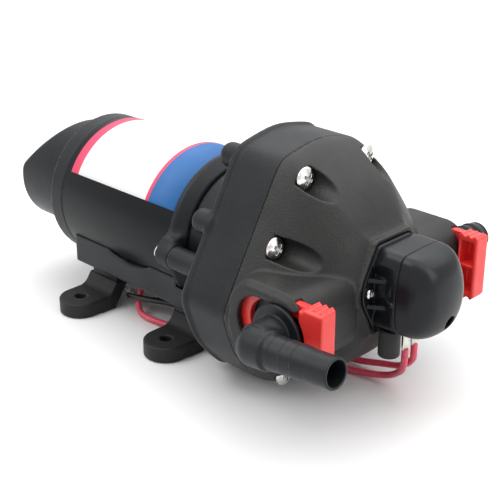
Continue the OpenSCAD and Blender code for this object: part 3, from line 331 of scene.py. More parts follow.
def addPiece(name, verts, faces, mat, node, body="base"):
    # verts in mm about the motor axis; faces are quads as rows of four
    mesh = bpy.data.meshes.new(name)
    v = np.asarray(verts, float) + (0, 0, axisHeight)
    f = np.asarray(faces, np.int32)
    mesh.vertices.add(len(v))
    mesh.vertices.foreach_set("co", (v / 1000).astype(np.float32).ravel())
    mesh.loops.add(f.size)
    mesh.loops.foreach_set("vertex_index", f.ravel())
    mesh.polygons.add(len(f))
    mesh.polygons.foreach_set("loop_start", arange(0, f.size, f.shape[1], dtype=np.int32))
    mesh.update(calc_edges=True)
    mesh.validate()
    mesh.polygons.foreach_set("use_smooth", np.ones(len(mesh.polygons), bool))
    obj = addObject(name, mesh)
    dress(obj, mat)
    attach(obj, body)
    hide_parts(node)
    return obj


corners = np.indices((2, 2, 2)).reshape(3, -1).T
cellEdges = [(a, b) for a in range(8) for b in range(a + 1, 8) if abs(corners[a] - corners[b]).sum() == 1]
netSet = {"probe": 0.1, "passes": 4, "flattest": 0.05, "furthest": 0.35}


def netSurface(shape, low, high, step):
    # one vertex in each cell that the surface crosses, one quad across each grid edge that it cuts,
    # then each vertex slides down the field's slope on to the surface itself
    axes = [arange(a, b + step, step, dtype=np.float32) for a, b in zip(low, high)]
    x, y, z = np.meshgrid(*axes, indexing="ij", sparse=True)
    f = np.broadcast_to(shape(x, y, z), [len(a) for a in axes]).astype(np.float32)
    ins = f < 0
    n = np.array(f.shape) - 1
    count = sum(ins[i:n[0] + i, j:n[1] + j, k:n[2] + k].astype(np.int8) for i, j, k in corners)
    cell = np.argwhere((count > 0) & (count < 8))
    index = np.full(n, -1, np.int32)
    index[tuple(cell.T)] = arange(len(cell))
    vals = stack([f[tuple((cell + c).T)] for c in corners], 1)
    total = np.zeros((len(cell), 3))
    hits = np.zeros(len(cell))
    for a, b in cellEdges:
        va, vb = vals[:, a], vals[:, b]
        cross = (va < 0) != (vb < 0)
        t = np.where(cross, va / np.where(cross, va - vb, 1), 0)
        total += cross[:, None] * (corners[a] + t[:, None] * (corners[b] - corners[a]))
        hits += cross
    verts = (cell + total / hits[:, None]) * step + np.array(low)
    quads = []
    for ax in range(3):
        u, w = (ax + 1) % 3, (ax + 2) % 3
        e = np.argwhere(np.diff(ins, axis=ax))
        e = e[(e[:, u] > 0) & (e[:, w] > 0) & (e[:, u] < n[u]) & (e[:, w] < n[w])]
        du, dw = np.eye(3, dtype=int)[[u, w]]
        quad = stack([index[tuple((e - s).T)] for s in (du + dw, dw, 0 * du, du)], 1)
        flip = ~ins[tuple(e.T)]
        quad[flip] = quad[flip][:, ::-1]
        quads.append(quad)
    e = step * netSet["probe"]
    for _ in range(netSet["passes"]):
        p = verts.T
        value = shape(*p)
        slope = stack([(shape(*(p + d)) - shape(*(p - d))) / (2 * e) for d in np.eye(3)[:, :, None] * e], 1)
        move = slope * (value / maximum((slope ** 2).sum(1), netSet["flattest"]))[:, None]
        size = np.linalg.norm(move, axis=1, keepdims=True)
        verts = verts - move * minimum(1, netSet["furthest"] * step / maximum(size, 1e-9))
    return verts, vstack(quads)


def moulded(name, shape, low, high, step, mat, node, body="base"):
    verts, quads = netSurface(shape, low, high, step)
    print(name, len(verts), "points")
    addPiece(name, verts, quads, mat, node, body)


def meet(a, b, k):
    # union with a fillet of about k
    h = clip(0.5 + 0.5 * (b - a) / k, 0, 1)
    return b + (a - b) * h - k * h * (1 - h)


def trim(a, b, k):
    # a without b, with a rounded edge of about k
    return -meet(-a, b, k)


def shared(a, b, k):
    # what a and b share, with a rounded edge of about k
    return -meet(-a, -b, k)


def rounded2(d, e, edge):
    # distance d in a plane and e along its normal, joined with a rounded edge
    a, b = d + edge, e + edge
    return np.sqrt(maximum(a, 0) ** 2 + maximum(b, 0) ** 2) + minimum(maximum(a, b), 0) - edge


def span(t, t0, t1):
    # distance outside the stretch from t0 to t1
    return abs(t - (t0 + t1) / 2) - (t1 - t0) / 2


def rod(a, b, t, ca, cb, radius, t0, t1, edge):
    # round bar: a and b across, t along
    return rounded2(hypot(a - ca, b - cb) - radius, span(t, t0, t1), edge)


def plate(a, b, halfA, halfB, corner):
    # flat rounded rectangle about the origin
    qa, qb = abs(a) - halfA + corner, abs(b) - halfB + corner
    return hypot(maximum(qa, 0), maximum(qb, 0)) + minimum(maximum(qa, qb), 0) - corner


def block(x, y, z, low, high, edge):
    # box from corner to corner with rounded edges
    q = [span(t, a, b) + edge for t, a, b in zip((x, y, z), low, high)]
    out = np.sqrt(sum(maximum(t, 0) ** 2 for t in q))
    return out + minimum(maximum(q[0], maximum(q[1], q[2])), 0) - edge


def bored(d, x, y, z, holes):
    # round holes about the motor axis, as radius, from and to
    for radius, near, far in holes:
        d = trim(d, rod(y, z, x, 0, 0, radius, near, far, 0.1), 0.2)
    return d


# Outline shared by the drive housing and the head: three long sides and three blunt lobes

outlineSet = {"radius": 49.3, "lobe": 24.0, "power": 34.0, "least": 1e-3}


def outlineShare(y, z):
    # 1 on the outline: a high-power mean of the distances to the nine sides, which rounds the corners
    o = outlineSet
    turn = np.radians([c + a for c in (90, 210, 330) for a in (-o["lobe"], 0, o["lobe"])])
    half = np.diff(turn, append=turn[0] + 2 * np.pi) / 2
    total = 0
    for m, r in zip(turn + half, o["radius"] * np.cos(half)):
        total = total + maximum((y * np.cos(m) + z * np.sin(m)) / r, o["least"]) ** o["power"]
    return total ** (1 / o["power"])


screwSet = {"corner": (43.2, (-22.8, 22.8, 142.8, 217.2)), "side": (36.5, (60.4, 180, 299.6)), "seat": 85.0}
screwPlaces = [(-math.sin(math.radians(a)) * r, math.cos(math.radians(a)) * r)
               for r, turns in (screwSet["corner"], screwSet["side"]) for a in turns]

# Pump head

headSet = {"rear": 77.04, "joint": 77.0, "length": 36.0, "end": 0.985, "power": 1.5, "blunt": 0.35, "soft": 0.75,
           "round": 43.0, "scale": 42, "front": 112.0, "lip": 1.8, "lipRear": 108.5, "lipFront": 113.0,
           "lipFillet": 4.5, "trough": 4.7, "lean": 0.12, "seat": (111.0, 120.0),
           "bores": ((32.1, 60.0, 79.1), (30.2, 60.0, 90.1), (13.0, 60.0, 101.0))}
portSet = {"x": 103.0, "z": -2.7, "face": 48.0, "plate": 45.6, "slot": 42.4, "middle": 96.05, "long": 16.45,
           "root": 18.0, "half": 12.3, "under": 15.2, "hood": 1.9, "hoodSlope": 0.8, "corner": 9.0, "disc": 94.6,
           "discR": 12.5, "mouth": 9.8, "mouthX": 93.2, "grip": 110.9, "farX": 130.0, "farY": 60.0,
           "bores": ((8.5, 38.0, 46.0, 0.3), (8.0, 26.5, 40.0, 0.2))}
switchSet = {"x": 111.0, "z": 3.5, "halfW": 14.6, "top": 20.3, "bottom": -11.4, "seam": 125.0, "nose": 138.6,
             "waist": 3.4, "wall": 2.2, "earW": 16.4, "earFlat": 3.0, "earTop": 9.0, "earH": 16.5, "earEdge": 1.2,
             "arch": 0.004, "noseBend": 70, "noseEdge": 6.5, "draft": 0.06}


def earOutline(y, z, grow):
    # eight-sided flange with a screw ear on each side: the furthest of side, slope and top
    w = switchSet
    ay, az = abs(y), abs(z - w["z"])
    run, rise = w["earW"] - w["earTop"], w["earH"] - w["earFlat"]
    slope = ((ay - w["earW"]) * rise + (az - w["earFlat"]) * run) / math.hypot(run, rise)
    return shared(shared(ay - w["earW"], slope, w["earEdge"]), az - w["earH"], w["earEdge"]) - grow


def keyway(x, out, z, cx, half, near, far):
    # way in for a clip: round about cx, open to the front
    z0, front = portSet["z"], portSet["farX"]
    straight = block(x, out, z, (cx, near, z0 - half), (front, far, z0 + half), 0.2)
    return minimum(rod(x, z, out, cx, z0, half, near, far, 0.2), straight)


def headShape(x, y, z):
    h, p = headSet, portSet
    # the outline shrinks towards the front by fall = (1 - u^power)^blunt, and turns round on the way
    u = clip((x - h["joint"]) / h["length"], 0, h["end"])
    fall = (1 - u ** h["power"]) ** h["blunt"]
    soft = h["soft"] * u ** h["power"]
    dome = (outlineShare(y, z) * (1 - soft) + hypot(y, z) / h["round"] * soft - fall) * h["scale"]
    dome = maximum(dome, x - h["front"])
    lip = rounded2(earOutline(y, z, h["lip"]), span(x, h["lipRear"], h["lipFront"]), 0.5)
    d = meet(dome, lip, h["lipFillet"])
    for s in (-1, 1):
        # port block, lower along the outer edge of its hood
        top = p["half"] + minimum(p["hoodSlope"] * maximum(p["face"] - s * y, 0), p["hood"])
        mid, half = p["z"] + (top - p["under"]) / 2, (top + p["under"]) / 2
        flat = plate(x - p["middle"], z - mid, p["long"], half, p["corner"])
        d = meet(d, rounded2(flat, span(s * y, p["root"], p["face"]), 0.5), 1.2)
    d = shared(d, h["rear"] - x + 0 * y, 0.12)
    for cy, cz in screwPlaces:
        away = 1 - h["lean"] * maximum(x - screwSet["seat"], 0) / math.hypot(cy, cz)
        d = trim(d, rod(y, z, x, cy * away, cz * away, h["trough"], screwSet["seat"], p["farX"], 0.3), 0.3)
    for s in (-1, 1):
        out = s * y
        low, tall = p["plate"] - 1, p["discR"]
        mouth = keyway(x, out, z, p["mouthX"], p["mouth"], low, p["farY"])
        slot = keyway(x, out, z, p["disc"], tall, p["slot"], p["plate"])
        grip = block(x, out, z, (p["grip"], low, p["z"] - tall), (p["farX"], p["farY"], p["z"] + tall), 0.3)
        for hollow, edge in ((mouth, 0.4), (slot, 0.3), (grip, 0.4)):
            d = trim(d, hollow, edge)
        for radius, near, far, edge in p["bores"]:
            d = trim(d, rod(x, z, out, p["x"], p["z"], radius, near, far, 0.2), edge)
    d = bored(d, x, y, z, h["bores"])
    return trim(d, rounded2(earOutline(y, z, 0.3), span(x, *h["seat"]), 0.2), 0.3)


moulded("pumpHead", headShape, (76.4, -50.5, -43), (114.4, 50.5, 51), 0.6, nylonHead, "pump_head")

# Drive housing

housingSet = {"rear": 55.0, "front": 76.97, "scale": 44, "lip": 0.75, "lipRear": 55.1, "lipFront": 58.3, "neck": 28.0,
              "neckRear": 37.0, "bossR": 4.8, "bossRear": 46.8, "bossEdge": 3.4, "motorY": 34.5, "motorR": 4.6,
              "root": 4, "bores": ((25.0, 30.0, 54.0), (9.1, 50.0, 60.0), (31.0, 57.5, 90.0))}


def housingShape(x, y, z):
    h = housingSet
    flat = (outlineShare(y, z) - 1) * h["scale"]
    d = rounded2(flat, span(x, h["rear"], h["front"] + h["root"]), 1.6)
    d = maximum(d, x - h["front"])
    d = meet(d, rounded2(flat - h["lip"], span(x, h["lipRear"], h["lipFront"]), 1.5), 0.8)
    d = meet(d, rod(y, z, x, 0, 0, h["neck"], h["neckRear"], h["rear"] + 2, 0.4), 2.0)
    for cy, cz in screwPlaces:
        d = meet(d, rod(y, z, x, cy, cz, h["bossR"], h["bossRear"], h["rear"] + h["root"], h["bossEdge"]), 1.4)
    for s in (-1, 1):
        ear = rod(y, z, x, s * h["motorY"], 0, h["motorR"], h["neckRear"], h["rear"] + h["root"], 0.5)
        d = meet(d, ear, 1.5)
    return bored(d, x, y, z, h["bores"])


moulded("driveHousing", housingShape, (36.2, -52, -43), (77.6, 52, 52), 0.7, nylonHousingShaded, "drive_housing")

# Motor: tail cap, bell, can, label

motorSet = {"r": 31.0, "rear": -38.0, "front": 30.0, "ring": -46.0, "tail": -78.3, "noseR": 23.2, "crown": 0.915,
            "cutZ": 6.2, "cut": 1.13, "bellR": 32.5, "bell": 37.0, "cone": 0.72, "coneFrom": 31.6, "coneScale": 0.81,
            "webLow": (26.0, -6.0), "webHigh": (34.6, 6.5), "gap": 0.05,
            "tailBores": ((20.5, -60.0, 0.0), (8.1, -68.0, 0.0)), "bellBores": ((11.1, 34.0, 60.0), (6.1, 0.0, 60.0))}


def tailShape(x, y, z):
    # round nose with a flatter crown, cut off by a slope above the axis
    m = motorSet
    nose = rod(y, np.where(z > 0, z * m["crown"], z), x, 0, 0, m["noseR"], m["tail"], m["ring"] + 4, 1.4)
    slope = (z - m["cutZ"] - m["cut"] * (x - m["tail"])) / math.hypot(1, m["cut"])
    nose = shared(nose, slope + 0 * y, 2.0)
    d = meet(nose, rod(y, z, x, 0, 0, m["r"], m["ring"], m["rear"] - m["gap"], 0.3), 0.3)
    return bored(d, x, y, z, m["tailBores"])


moulded("tailCap", tailShape, (-79.6, -32.4, -32.4), (-37.2, 32.4, 32.4), 0.7, nylonFitting, "tail_cap")


def bellShape(x, y, z):
    m, h = motorSet, housingSet
    cone = (hypot(y, z) - m["bellR"] + m["cone"] * maximum(x - m["coneFrom"], 0)) * m["coneScale"]
    d = shared(rod(y, z, x, 0, 0, m["bellR"], m["front"], m["bell"] - 0.25, 0.9), cone, 0.7)
    for s in (-1, 1):
        d = meet(d, rod(y, z, x, s * h["motorY"], 0, h["motorR"], m["front"], m["bell"], 0.6), 2.0)
        d = meet(d, block(x, s * y, z, (m["front"], *m["webLow"]), (m["bell"] - 1.4, *m["webHigh"]), 1.0), 4.0)
    return bored(d, x, y, z, m["bellBores"])


moulded("frontBell", bellShape, (28.3, -41.1, -33.4), (37.6, 41.1, 33.4), 0.55, nylonHousingShaded, "front_bell")


def ringQuads(rows, turns, loop=False):
    # quads between rings of points; a loop joins the last ring to the first
    i = arange(rows if loop else rows - 1)[:, None] * turns
    j = (i + turns) % (rows * turns)
    k = arange(turns)
    m = (k + 1) % turns
    return stack([i + k, i + m, j + m, j + k], -1).reshape(-1, 4)


def roundCap(turns):
    # quads that close a ring of points, in strips from one side of it to the other
    k = arange(turns // 2 - 1)
    return stack([k, k + 1, turns - 2 - k, turns - 1 - k], -1)


def lathe(name, profile, turns, mat, node, body="base", axis=0, centre=(0, 0)):
    # profile rows (along, radius) make a closed loop, spun about the axis
    p = np.array(profile, float)
    a = arange(turns) * 2 * np.pi / turns
    along = np.repeat(p[:, :1], turns, 1)
    u = p[:, 1:2] * np.cos(a) + centre[0]
    w = p[:, 1:2] * np.sin(a) + centre[1]
    v = np.roll(stack([along, u, w], -1).reshape(-1, 3), axis, 1)
    addPiece(name, v, ringQuads(len(p), turns, True), mat, node, body)


canSet = {"rear": -37.95, "front": 29.95, "r": 31.0, "edge": 0.3, "bore": 29.4, "steps": 5, "turns": 192}


def canProfile():
    # tube with rounded shoulders, out along the skin and back along the bore
    b, edge = canSet, canSet["edge"]
    t = np.linspace(0, np.pi / 2, b["steps"] + 1)
    bend, rise = edge - edge * np.cos(t), b["r"] - edge + edge * np.sin(t)
    rear, front = np.c_[b["rear"] + bend, rise], np.c_[b["front"] - bend, rise][::-1]
    return vstack([[[b["rear"], b["bore"]]], rear, front, [[b["front"], b["bore"]]]])


lathe("motorCan", canProfile(), canSet["turns"], epoxyPaint, "motor_can")


def makeLabel():
    # film bent round the barrel: angle across, station along, with thin edges and an underside
    b = labelSet
    half, r = math.radians(b["reach"]), b["skin"]
    a = np.linspace(-half, half, b["points"])
    x = np.array([b["rear"], b["rear"] + b["edge"], *b["stations"], b["front"] - b["edge"], b["front"]])
    radius = r + b["thick"] * np.ones((len(x), len(a)))
    radius[[0, -1], :] = r
    radius[:, [0, -1]] = r
    along = np.repeat(x[:, None], len(a), 1)
    over, under = (stack([along, e * np.sin(a), e * np.cos(a)], -1).reshape(-1, 3)
                   for e in (radius, np.full_like(radius, r)))
    i = arange(len(x) - 1)[:, None] * len(a)
    k = arange(len(a) - 1)
    q = stack([i + k, i + k + 1, i + len(a) + k + 1, i + len(a) + k], -1).reshape(-1, 4)
    q = vstack([q[:, ::-1], q + len(over)])
    addPiece("ratingLabel", vstack([over, under]), q, labelFilm, "rating_label")


makeLabel()

# Base: saddle and feet

footSet = {"x": 27.5, "y": 32.25, "half": 9.2, "pad": 6.5, "from": 21.5, "hole": 2.5, "top": 11.5, "arm": 24.2,
           "slope": 0.72, "armHalf": 2.9, "armScale": 0.81}
saddleSet = {"rear": -34.0, "front": 55.0, "half": 28.5, "skirt": -25.5, "top": -11.0, "strap": -34.0, "strapHalf": 20,
             "can": 31.06, "bell": (32.8, 29.9, 37.3), "middle": 1.5, "archR": 31.0, "arch": -14.6,
             "scoopAt": (29.5, -11.5), "scoopR": (14.0, 4.5, 5.2), "scoopScale": 4.0}


def saddleShape(x, y, z):
    # skirts and straps, hollowed by the can, the bell, a cross arch and a scoop in each skirt
    b, f = saddleSet, footSet
    d = block(x, y, z, (b["rear"], -b["half"], b["skirt"]), (b["front"], b["half"], b["top"]), 0.9)
    for s in (-1, 1):
        strap = block(x, y, z, (max(b["rear"], s * f["x"] - f["half"]), -b["strapHalf"], b["strap"]),
                      (s * f["x"] + f["half"], b["strapHalf"], b["skirt"] + 2), 0.6)
        d = meet(d, strap, 1.2)
    lx, (sy, sz), (rx, ry, rz) = x - b["middle"], b["scoopAt"], b["scoopR"]
    d = trim(d, hypot(y, z) - b["can"] + 0 * x, 0.4)
    d = trim(d, rod(y, z, x, 0, 0, *b["bell"], 0.1), 0.3)
    d = trim(d, hypot(lx, z - b["archR"] - b["arch"]) - b["archR"] + 0 * y, 0.4)
    scoop = np.sqrt((lx / rx) ** 2 + ((abs(y) - sy) / ry) ** 2 + ((z - sz) / rz) ** 2) - 1
    return trim(d, scoop * b["scoopScale"], 0.3)


moulded("baseSaddle", saddleShape, (-34.8, -29.4, -34.9), (55.8, 29.4, -10.2), 0.62, nylonFitting, "base_saddle")


def footShape(cx, s):
    b = footSet

    def shape(x, y, z):
        # flat pad with a round end and a hole, and an arm that leans up to the strap
        lx, out, up = x - cx, s * y, z + axisHeight
        rho = hypot(lx, out - b["y"])
        straight = maximum(abs(lx) - b["half"], maximum(out - b["y"], b["from"] - out))
        pad = rounded2(minimum(rho - b["half"], straight), span(up, 0.0, b["pad"]), 0.7)
        away = abs(out - b["arm"] + b["slope"] * up) * b["armScale"] - b["armHalf"]
        arm = rounded2(maximum(away, span(up, 0.0, b["top"])), abs(lx) - b["half"], 0.6)
        d = trim(meet(pad, arm, 2.0), rho - b["hole"] + 0 * up, 0.5)
        return maximum(d, maximum(-up, up - b["top"]))

    return shape


for name, node, end, s in (("footNearRear", "foot_near_rear", -1, -1), ("footNearFront", "foot_near_front", 1, -1),
                           ("footFarRear", "foot_far_rear", -1, 1), ("footFarFront", "foot_far_front", 1, 1)):
    cx = end * footSet["x"]
    y0, y1 = sorted((s * 10.5, s * 42.2))
    moulded(name, footShape(cx, s), (cx - 10, y0, -46.2), (cx + 10, y1, -33.4), 0.5, nitrile, node)

# Slide clips

clipSet = {"grip": 113.0, "length": 8.5, "depth": 7.6, "half": 12.2, "play": 0.3, "ridge": 1.0, "ridges": 3,
           "ridgeHalf": 0.36, "ridgeIn": 1.6, "thumb": (12.4, -1.5), "thumbR": 13.3, "thumbHalf": 8.5, "collar": 11.0,
           "entry": 8.8, "neck": 6.6, "shift": 7, "wall": 2.0, "rib": 0.55, "ribZ": 0.3}


def clipShape(s):
    c, p = clipSet, portSet
    start, end, half, most = c["grip"], c["grip"] + c["length"], c["half"], c["half"] + c["ridge"]
    inner, outer = p["slot"] + c["play"], p["plate"] - c["play"]
    back, face = p["face"] - c["depth"], p["face"] - c["play"]

    def shape(x, y, z):
        out, lz = s * y, z - p["z"]
        straight = maximum(abs(lz) - half, maximum(p["disc"] - x, x - start - 1))
        tongue = minimum(hypot(x - p["disc"], lz) - half, straight)
        d = rounded2(tongue, span(out, inner, outer), 0.3)
        root = block(x, out, lz, (p["grip"] + c["play"], outer - 0.5, -half), (start + 1, face, half - 0.8), 0.9)
        d = meet(d, root, 0.3)
        d = meet(d, block(x, out, lz, (start, back, -half), (end, face, half), 0.8), 0.3)
        # ridges over the grip's ends: a triangle wave along x
        turn = (x - start) / (c["length"] / c["ridges"]) % 1
        wave = maximum(0, 1 - abs(turn - 0.5) / c["ridgeHalf"])
        ridges = block(x, out, lz, (start + 0.2, back, -most), (end - 0.2, face, most), 0.4)
        ridges = maximum(ridges, abs(lz) - half - c["ridge"] * wave)
        d = meet(d, maximum(ridges, (out - p["face"] + c["ridgeIn"]) * 0.8), 0.35)
        # hollow for the thumb, room for the barb's collar, and the keyhole that holds its neck
        tx, tz = x - start + c["thumb"][0], lz - c["thumb"][1]
        thumb = maximum(hypot(tx, tz) - c["thumbR"], abs(tz) - c["thumbHalf"])
        d = trim(d, thumb + maximum(outer + 0.2 - out, 0), 0.5)
        d = trim(d, rod(x, lz, out, p["x"], 0, c["collar"], outer, p["farY"], 0.1), 0.5)
        entry = p["x"] - c["shift"]
        way = maximum(abs(lz) - c["neck"], span(x, entry, p["x"]))
        neck = minimum(hypot(x - p["x"], lz) - c["neck"], way)
        d = trim(d, minimum(hypot(x - entry, lz) - c["entry"], neck), 0.4)
        # pocket behind the grip, with a rib across it
        deep = half - c["wall"]
        pocket = block(x, out, lz, (start + 1.2, 30, -deep), (end - 1.5, p["face"] - 1.9, deep), 0.6)
        return trim(d, maximum(pocket, c["rib"] - abs(lz - c["ribZ"])), 0.4)

    return shape


for name, node, s in (("nearClip", "near_clip", -1), ("farClip", "far_clip", 1)):
    y0, y1 = sorted((s * 39.5, s * 48.6))
    moulded(name, clipShape(s), (81.6, y0, -16.8), (122.4, y1, 11.4), 0.36, acetalRed, node, node)

# Hose barbs

barbSet = {"body": 7.0, "tip": 5.6, "bore": 4.5, "ribs": 3, "drop": 0.8, "plain": 52, "ribbed": 55.5, "end": 69.0,
           "lead": 0.6, "step": 0.15, "turns": 72,
           "plug": [(27.0, 7.3), (27.8, 7.9), (33.9, 7.9), (34.0, 7.9), (34.01, 6.2), (36.0, 6.2), (36.01, 7.9),
                    (39.99, 7.9), (40.01, 8.2), (42.39, 8.2), (42.41, 6.3), (48.29, 6.3), (48.31, 10.4), (49.0, 10.4),
                    (50.0, 10.4), (50.3, 10.1), (50.5, 9.9), (50.51, 7.79), (50.8, 7.5), (51.3, 7.0)]}
elbowSet = {"out": -58.5, "leg": 34.5, "root": 6.1, "turn": 5.6, "bulb": 7.4, "first": 9.8, "pitch": 4.95, "sink": 0.8,
            "tooth": 0.32, "behind": -9.0, "neckFrom": 44.0, "collar": (10.6, 48.15, 49.6), "neck": 6.3,
            "neckEnd": 48.2, "plug": ((7.9, 27.0, 34.0, 0.5), (7.9, 36.2, 40.2, 0.2), (6.2, 33.0, 37.0, 0.1)),
            "flange": (8.2, 40.0, 42.4)}


def elbowShape(x, y, z):
    # plug and collar on the port's axis, a round corner, then the ribbed leg on its own axis
    e, p = elbowSet, portSet
    body, bore, tip = barbSet["body"], barbSet["bore"], barbSet["tip"]
    out, lx, lz = -y, x - p["x"], z - p["z"]
    across = hypot(lx, lz)
    c, s = math.cos(math.radians(e["turn"])), math.sin(math.radians(e["turn"]))
    g, h, w = lx * c + (lz + e["sink"]) * s, (lz + e["sink"]) * c - lx * s, y - e["out"]
    leg = hypot(w, h)
    # each tooth runs from 0 to 1; the last one runs on to the tip
    place, last = (g - e["first"]) / e["pitch"], barbSet["ribs"] - 1.0
    tooth = minimum(place, last)
    tooth = np.where(tooth > last - 0.01, place - last, tooth % 1)
    taper = e["root"] + (tip - e["root"]) * clip(g / e["leg"], 0, 1)
    ribs = rounded2(leg - taper - e["tooth"] * (0.5 - clip(tooth, 0, 1)), span(g, 0.0, e["leg"]), 0.4)
    ball = np.sqrt(g ** 2 + leg ** 2) - body
    bulb = maximum(rounded2(leg - body, span(g, e["behind"], e["bulb"]), 1.2), -g)
    neck = rounded2(across - body, span(out, e["neckFrom"], -e["out"]), 0.1)
    d = meet(meet(minimum(bulb, ball), neck, 1.2), ribs, 0.5)
    radius, near, far = e["collar"]
    d = meet(d, rounded2(across - radius, span(out, near, far), 0.4), 0.8)
    d = np.where(out < e["neckEnd"], maximum(d, across - e["neck"]), d)
    for radius, near, far, edge in (*e["plug"], (*e["flange"], 0.2)):
        d = minimum(d, rounded2(across - radius, span(out, near, far), edge))
    hole = minimum(across - bore + maximum(out + e["out"], 0), ball + body - bore)
    hole = minimum(hole, leg - bore + maximum(-g, 0))
    return trim(d, hole, 0.25)


def makeStraight():
    # plug with groove, flange, neck and collar, then a plain body and ribs that step down to the tip
    b, p = barbSet, portSet
    body, start, end = b["body"], b["ribbed"], b["end"]
    plain = arange(b["plain"], start, 0.5)
    s = np.append(arange(start, end - 0.4, b["step"]), [end - 0.3, end])
    g = clip((s - start) / (end - start), 0, 1)
    tooth = clip(g * b["ribs"] % 1 * 1.05, 0, 1) * clip((s - start) / b["lead"], 0, 1) * (g < 1)
    r = body + (b["tip"] + b["drop"] / 2 - body) * g - b["drop"] * tooth
    r[-2:] -= (0.15, 0.45)
    skin = vstack([b["plug"], np.c_[plain, 0 * plain + body], np.c_[s, r]])
    profile = vstack([skin, np.c_[skin[::-1, 0], np.full(len(skin), b["bore"])]])
    lathe("straightBarb", profile, b["turns"], nylonFitting, "straight_barb", "straight", axis=1,
          centre=(p["z"], p["x"]))


moulded("elbowBarb", elbowShape, (92.0, -66.6, -13.8), (140.6, -26.4, 8.6), 0.3, nylonFitting, "elbow_barb",
        "elbow")
makeStraight()

# Pressure switch


def shellOutline(y, z):
    # slightly arched top, sides that lean in by 15 degrees above and 8 below the screw line, round bottom
    w = switchSet
    ay = abs(y) - w["halfW"]
    side = shared(ay, 0.966 * ay + 0.259 * (z - 6.5), 1.5)
    side = shared(side, 0.99 * ay - 0.139 * (z - 1.5), 3.0)
    return shared(shared(side, z - w["top"] + w["arch"] * y ** 2, 2.6), w["bottom"] - z, 9.0)


def shellNose(x, y, z, inset):
    # bowed front with a large rounded edge; the sides draw in a little towards it
    w = switchSet
    front = x - w["nose"] + inset + (y ** 2 + (z - w["z"]) ** 2) / w["noseBend"]
    return shared(shellOutline(y, z) + inset + w["draft"] * maximum(x - w["seam"], 0), front, w["noseEdge"])


baseSet = {"plate": 113.5, "waistFrom": 4.0, "waistRun": 6.5, "window": 12.0, "windowZ": -0.5, "windowRun": 4.5,
           "flare": 0.45, "flareIn": 0.6, "webs": (-5.0, 5.0), "web": 0.75, "webLong": 6.2, "webOut": 14.0,
           "webSlope": 0.6, "barZ": -0.8, "bar": 0.7, "hole": 3.0}


def baseShape(x, y, z):
    b, w = baseSet, switchSet
    dz, ay, px = z - w["z"], abs(y), b["plate"]
    # the waist draws the sides in behind the seam: a smooth step along x, only beside the screws
    share = clip((x - px - b["waistFrom"]) / b["waistRun"], 0, 1)
    inset = w["waist"] * (1 - share * share * (3 - 2 * share))
    inset = inset * clip((b["window"] - abs(dz - b["windowZ"])) / b["windowRun"], 0, 1)
    skin = shared(shellOutline(ay + inset, z), earOutline(y, z, b["flare"] * (x - px) - b["flareIn"]), 0.8)
    d = rounded2(skin, span(x, w["x"] + 0.3, w["seam"] - 0.04), 0.2)
    d = meet(d, rounded2(earOutline(y, z, 0), span(x, w["x"], px), 0.25), 0.5)
    for cz in b["webs"]:
        web = block(x, ay, dz, (w["x"] + 1, 5, cz - b["web"]), (px + b["webLong"], 30, cz + b["web"]), 0.25)
        d = meet(d, maximum(web, (ay - b["webOut"] + b["webSlope"] * (x - px)) * 0.86), 0.25)
    bar = maximum(abs(dz - b["barZ"]) - b["bar"], span(x, px + 3, w["seam"] - 0.5))
    d = meet(d, maximum(bar, skin - b["bar"]), 0.3)
    d = trim(d, rounded2(skin + w["wall"], span(x, px, w["seam"] + 9), 0.3), 0.2)
    return trim(d, hypot(y, dz) - b["hole"] + 0 * x, 0.2)


moulded("switchBase", baseShape, (110.6, -17.6, -15.4), (125.4, 17.6, 22.4), 0.42, absShell, "switch_base")

capSet = {"y": 1.7, "z": -4.7, "hole": 2.6}


def capShape(x, y, z):
    c, w = capSet, switchSet
    d = shared(shellNose(x, y, z, 0), w["seam"] + 0.04 - x + 0 * y, 0.25)
    d = trim(d, shellNose(x, y, z, w["wall"]), 0.1)
    return trim(d, hypot(y - c["y"], z - c["z"]) - c["hole"] + 0 * x, 0.5)


moulded("switchCap", capShape, (124.6, -15.6, -14.6), (139.6, 15.6, 21.2), 0.4, absShell, "switch_cap")

bootSet = {"x": 118.2, "y": -6.4, "r": 4.0, "low": -21.6, "top": -10.8, "bore": 2.2, "below": -30.0, "deep": -19.0}


def terminalShape(x, y, z):
    # rubber boot over the blade
    b = bootSet
    d = rod(x, y, z, b["x"], b["y"], b["r"], b["low"], b["top"], 0.8)
    return trim(d, rod(x, y, z, b["x"], b["y"], b["bore"], b["below"], b["deep"], 0.3), 0.4)


moulded("terminalBlock", terminalShape, (113.8, -10.8, -22.0), (122.6, -2, -10.4), 0.3, nitrile, "terminal_block")

# Inside: the diaphragm in two pieces, since its rim is clamped and its disc rocks with the plate; spring; grommet

driveSet = {"joint": 77.0, "swing": 70.0, "tilt": 3.0, "rim": 32.0, "rimIn": 29.1, "disc": 28.1, "thick": 2.0,
            "piston": 18.0, "hole": 2.1, "gap": 0.03}
springSet = {"from": 115.25, "to": 119.55, "radius": 4.9, "wire": 0.8, "turns": 4, "perTurn": 24, "sides": 8,
             "anchor": 120.0, "travel": 1.0}
grommetSet = {"x": -42.0, "turns": 48, "bead": [(-34.0, 2.0), (-34.0, 5.4), (-33.4, 6.0), (-31.6, 6.0), (-31.05, 5.5),
              (-31.05, 3.0), (-21.0, 3.0), (-21.0, 2.0)]}


def rimShape(x, y, z):
    b = driveSet
    thick = span(x, b["joint"] + b["gap"], b["joint"] + b["thick"] - b["gap"])
    return rounded2(span(hypot(y, z), b["rimIn"], b["rim"]), thick, 0.3)


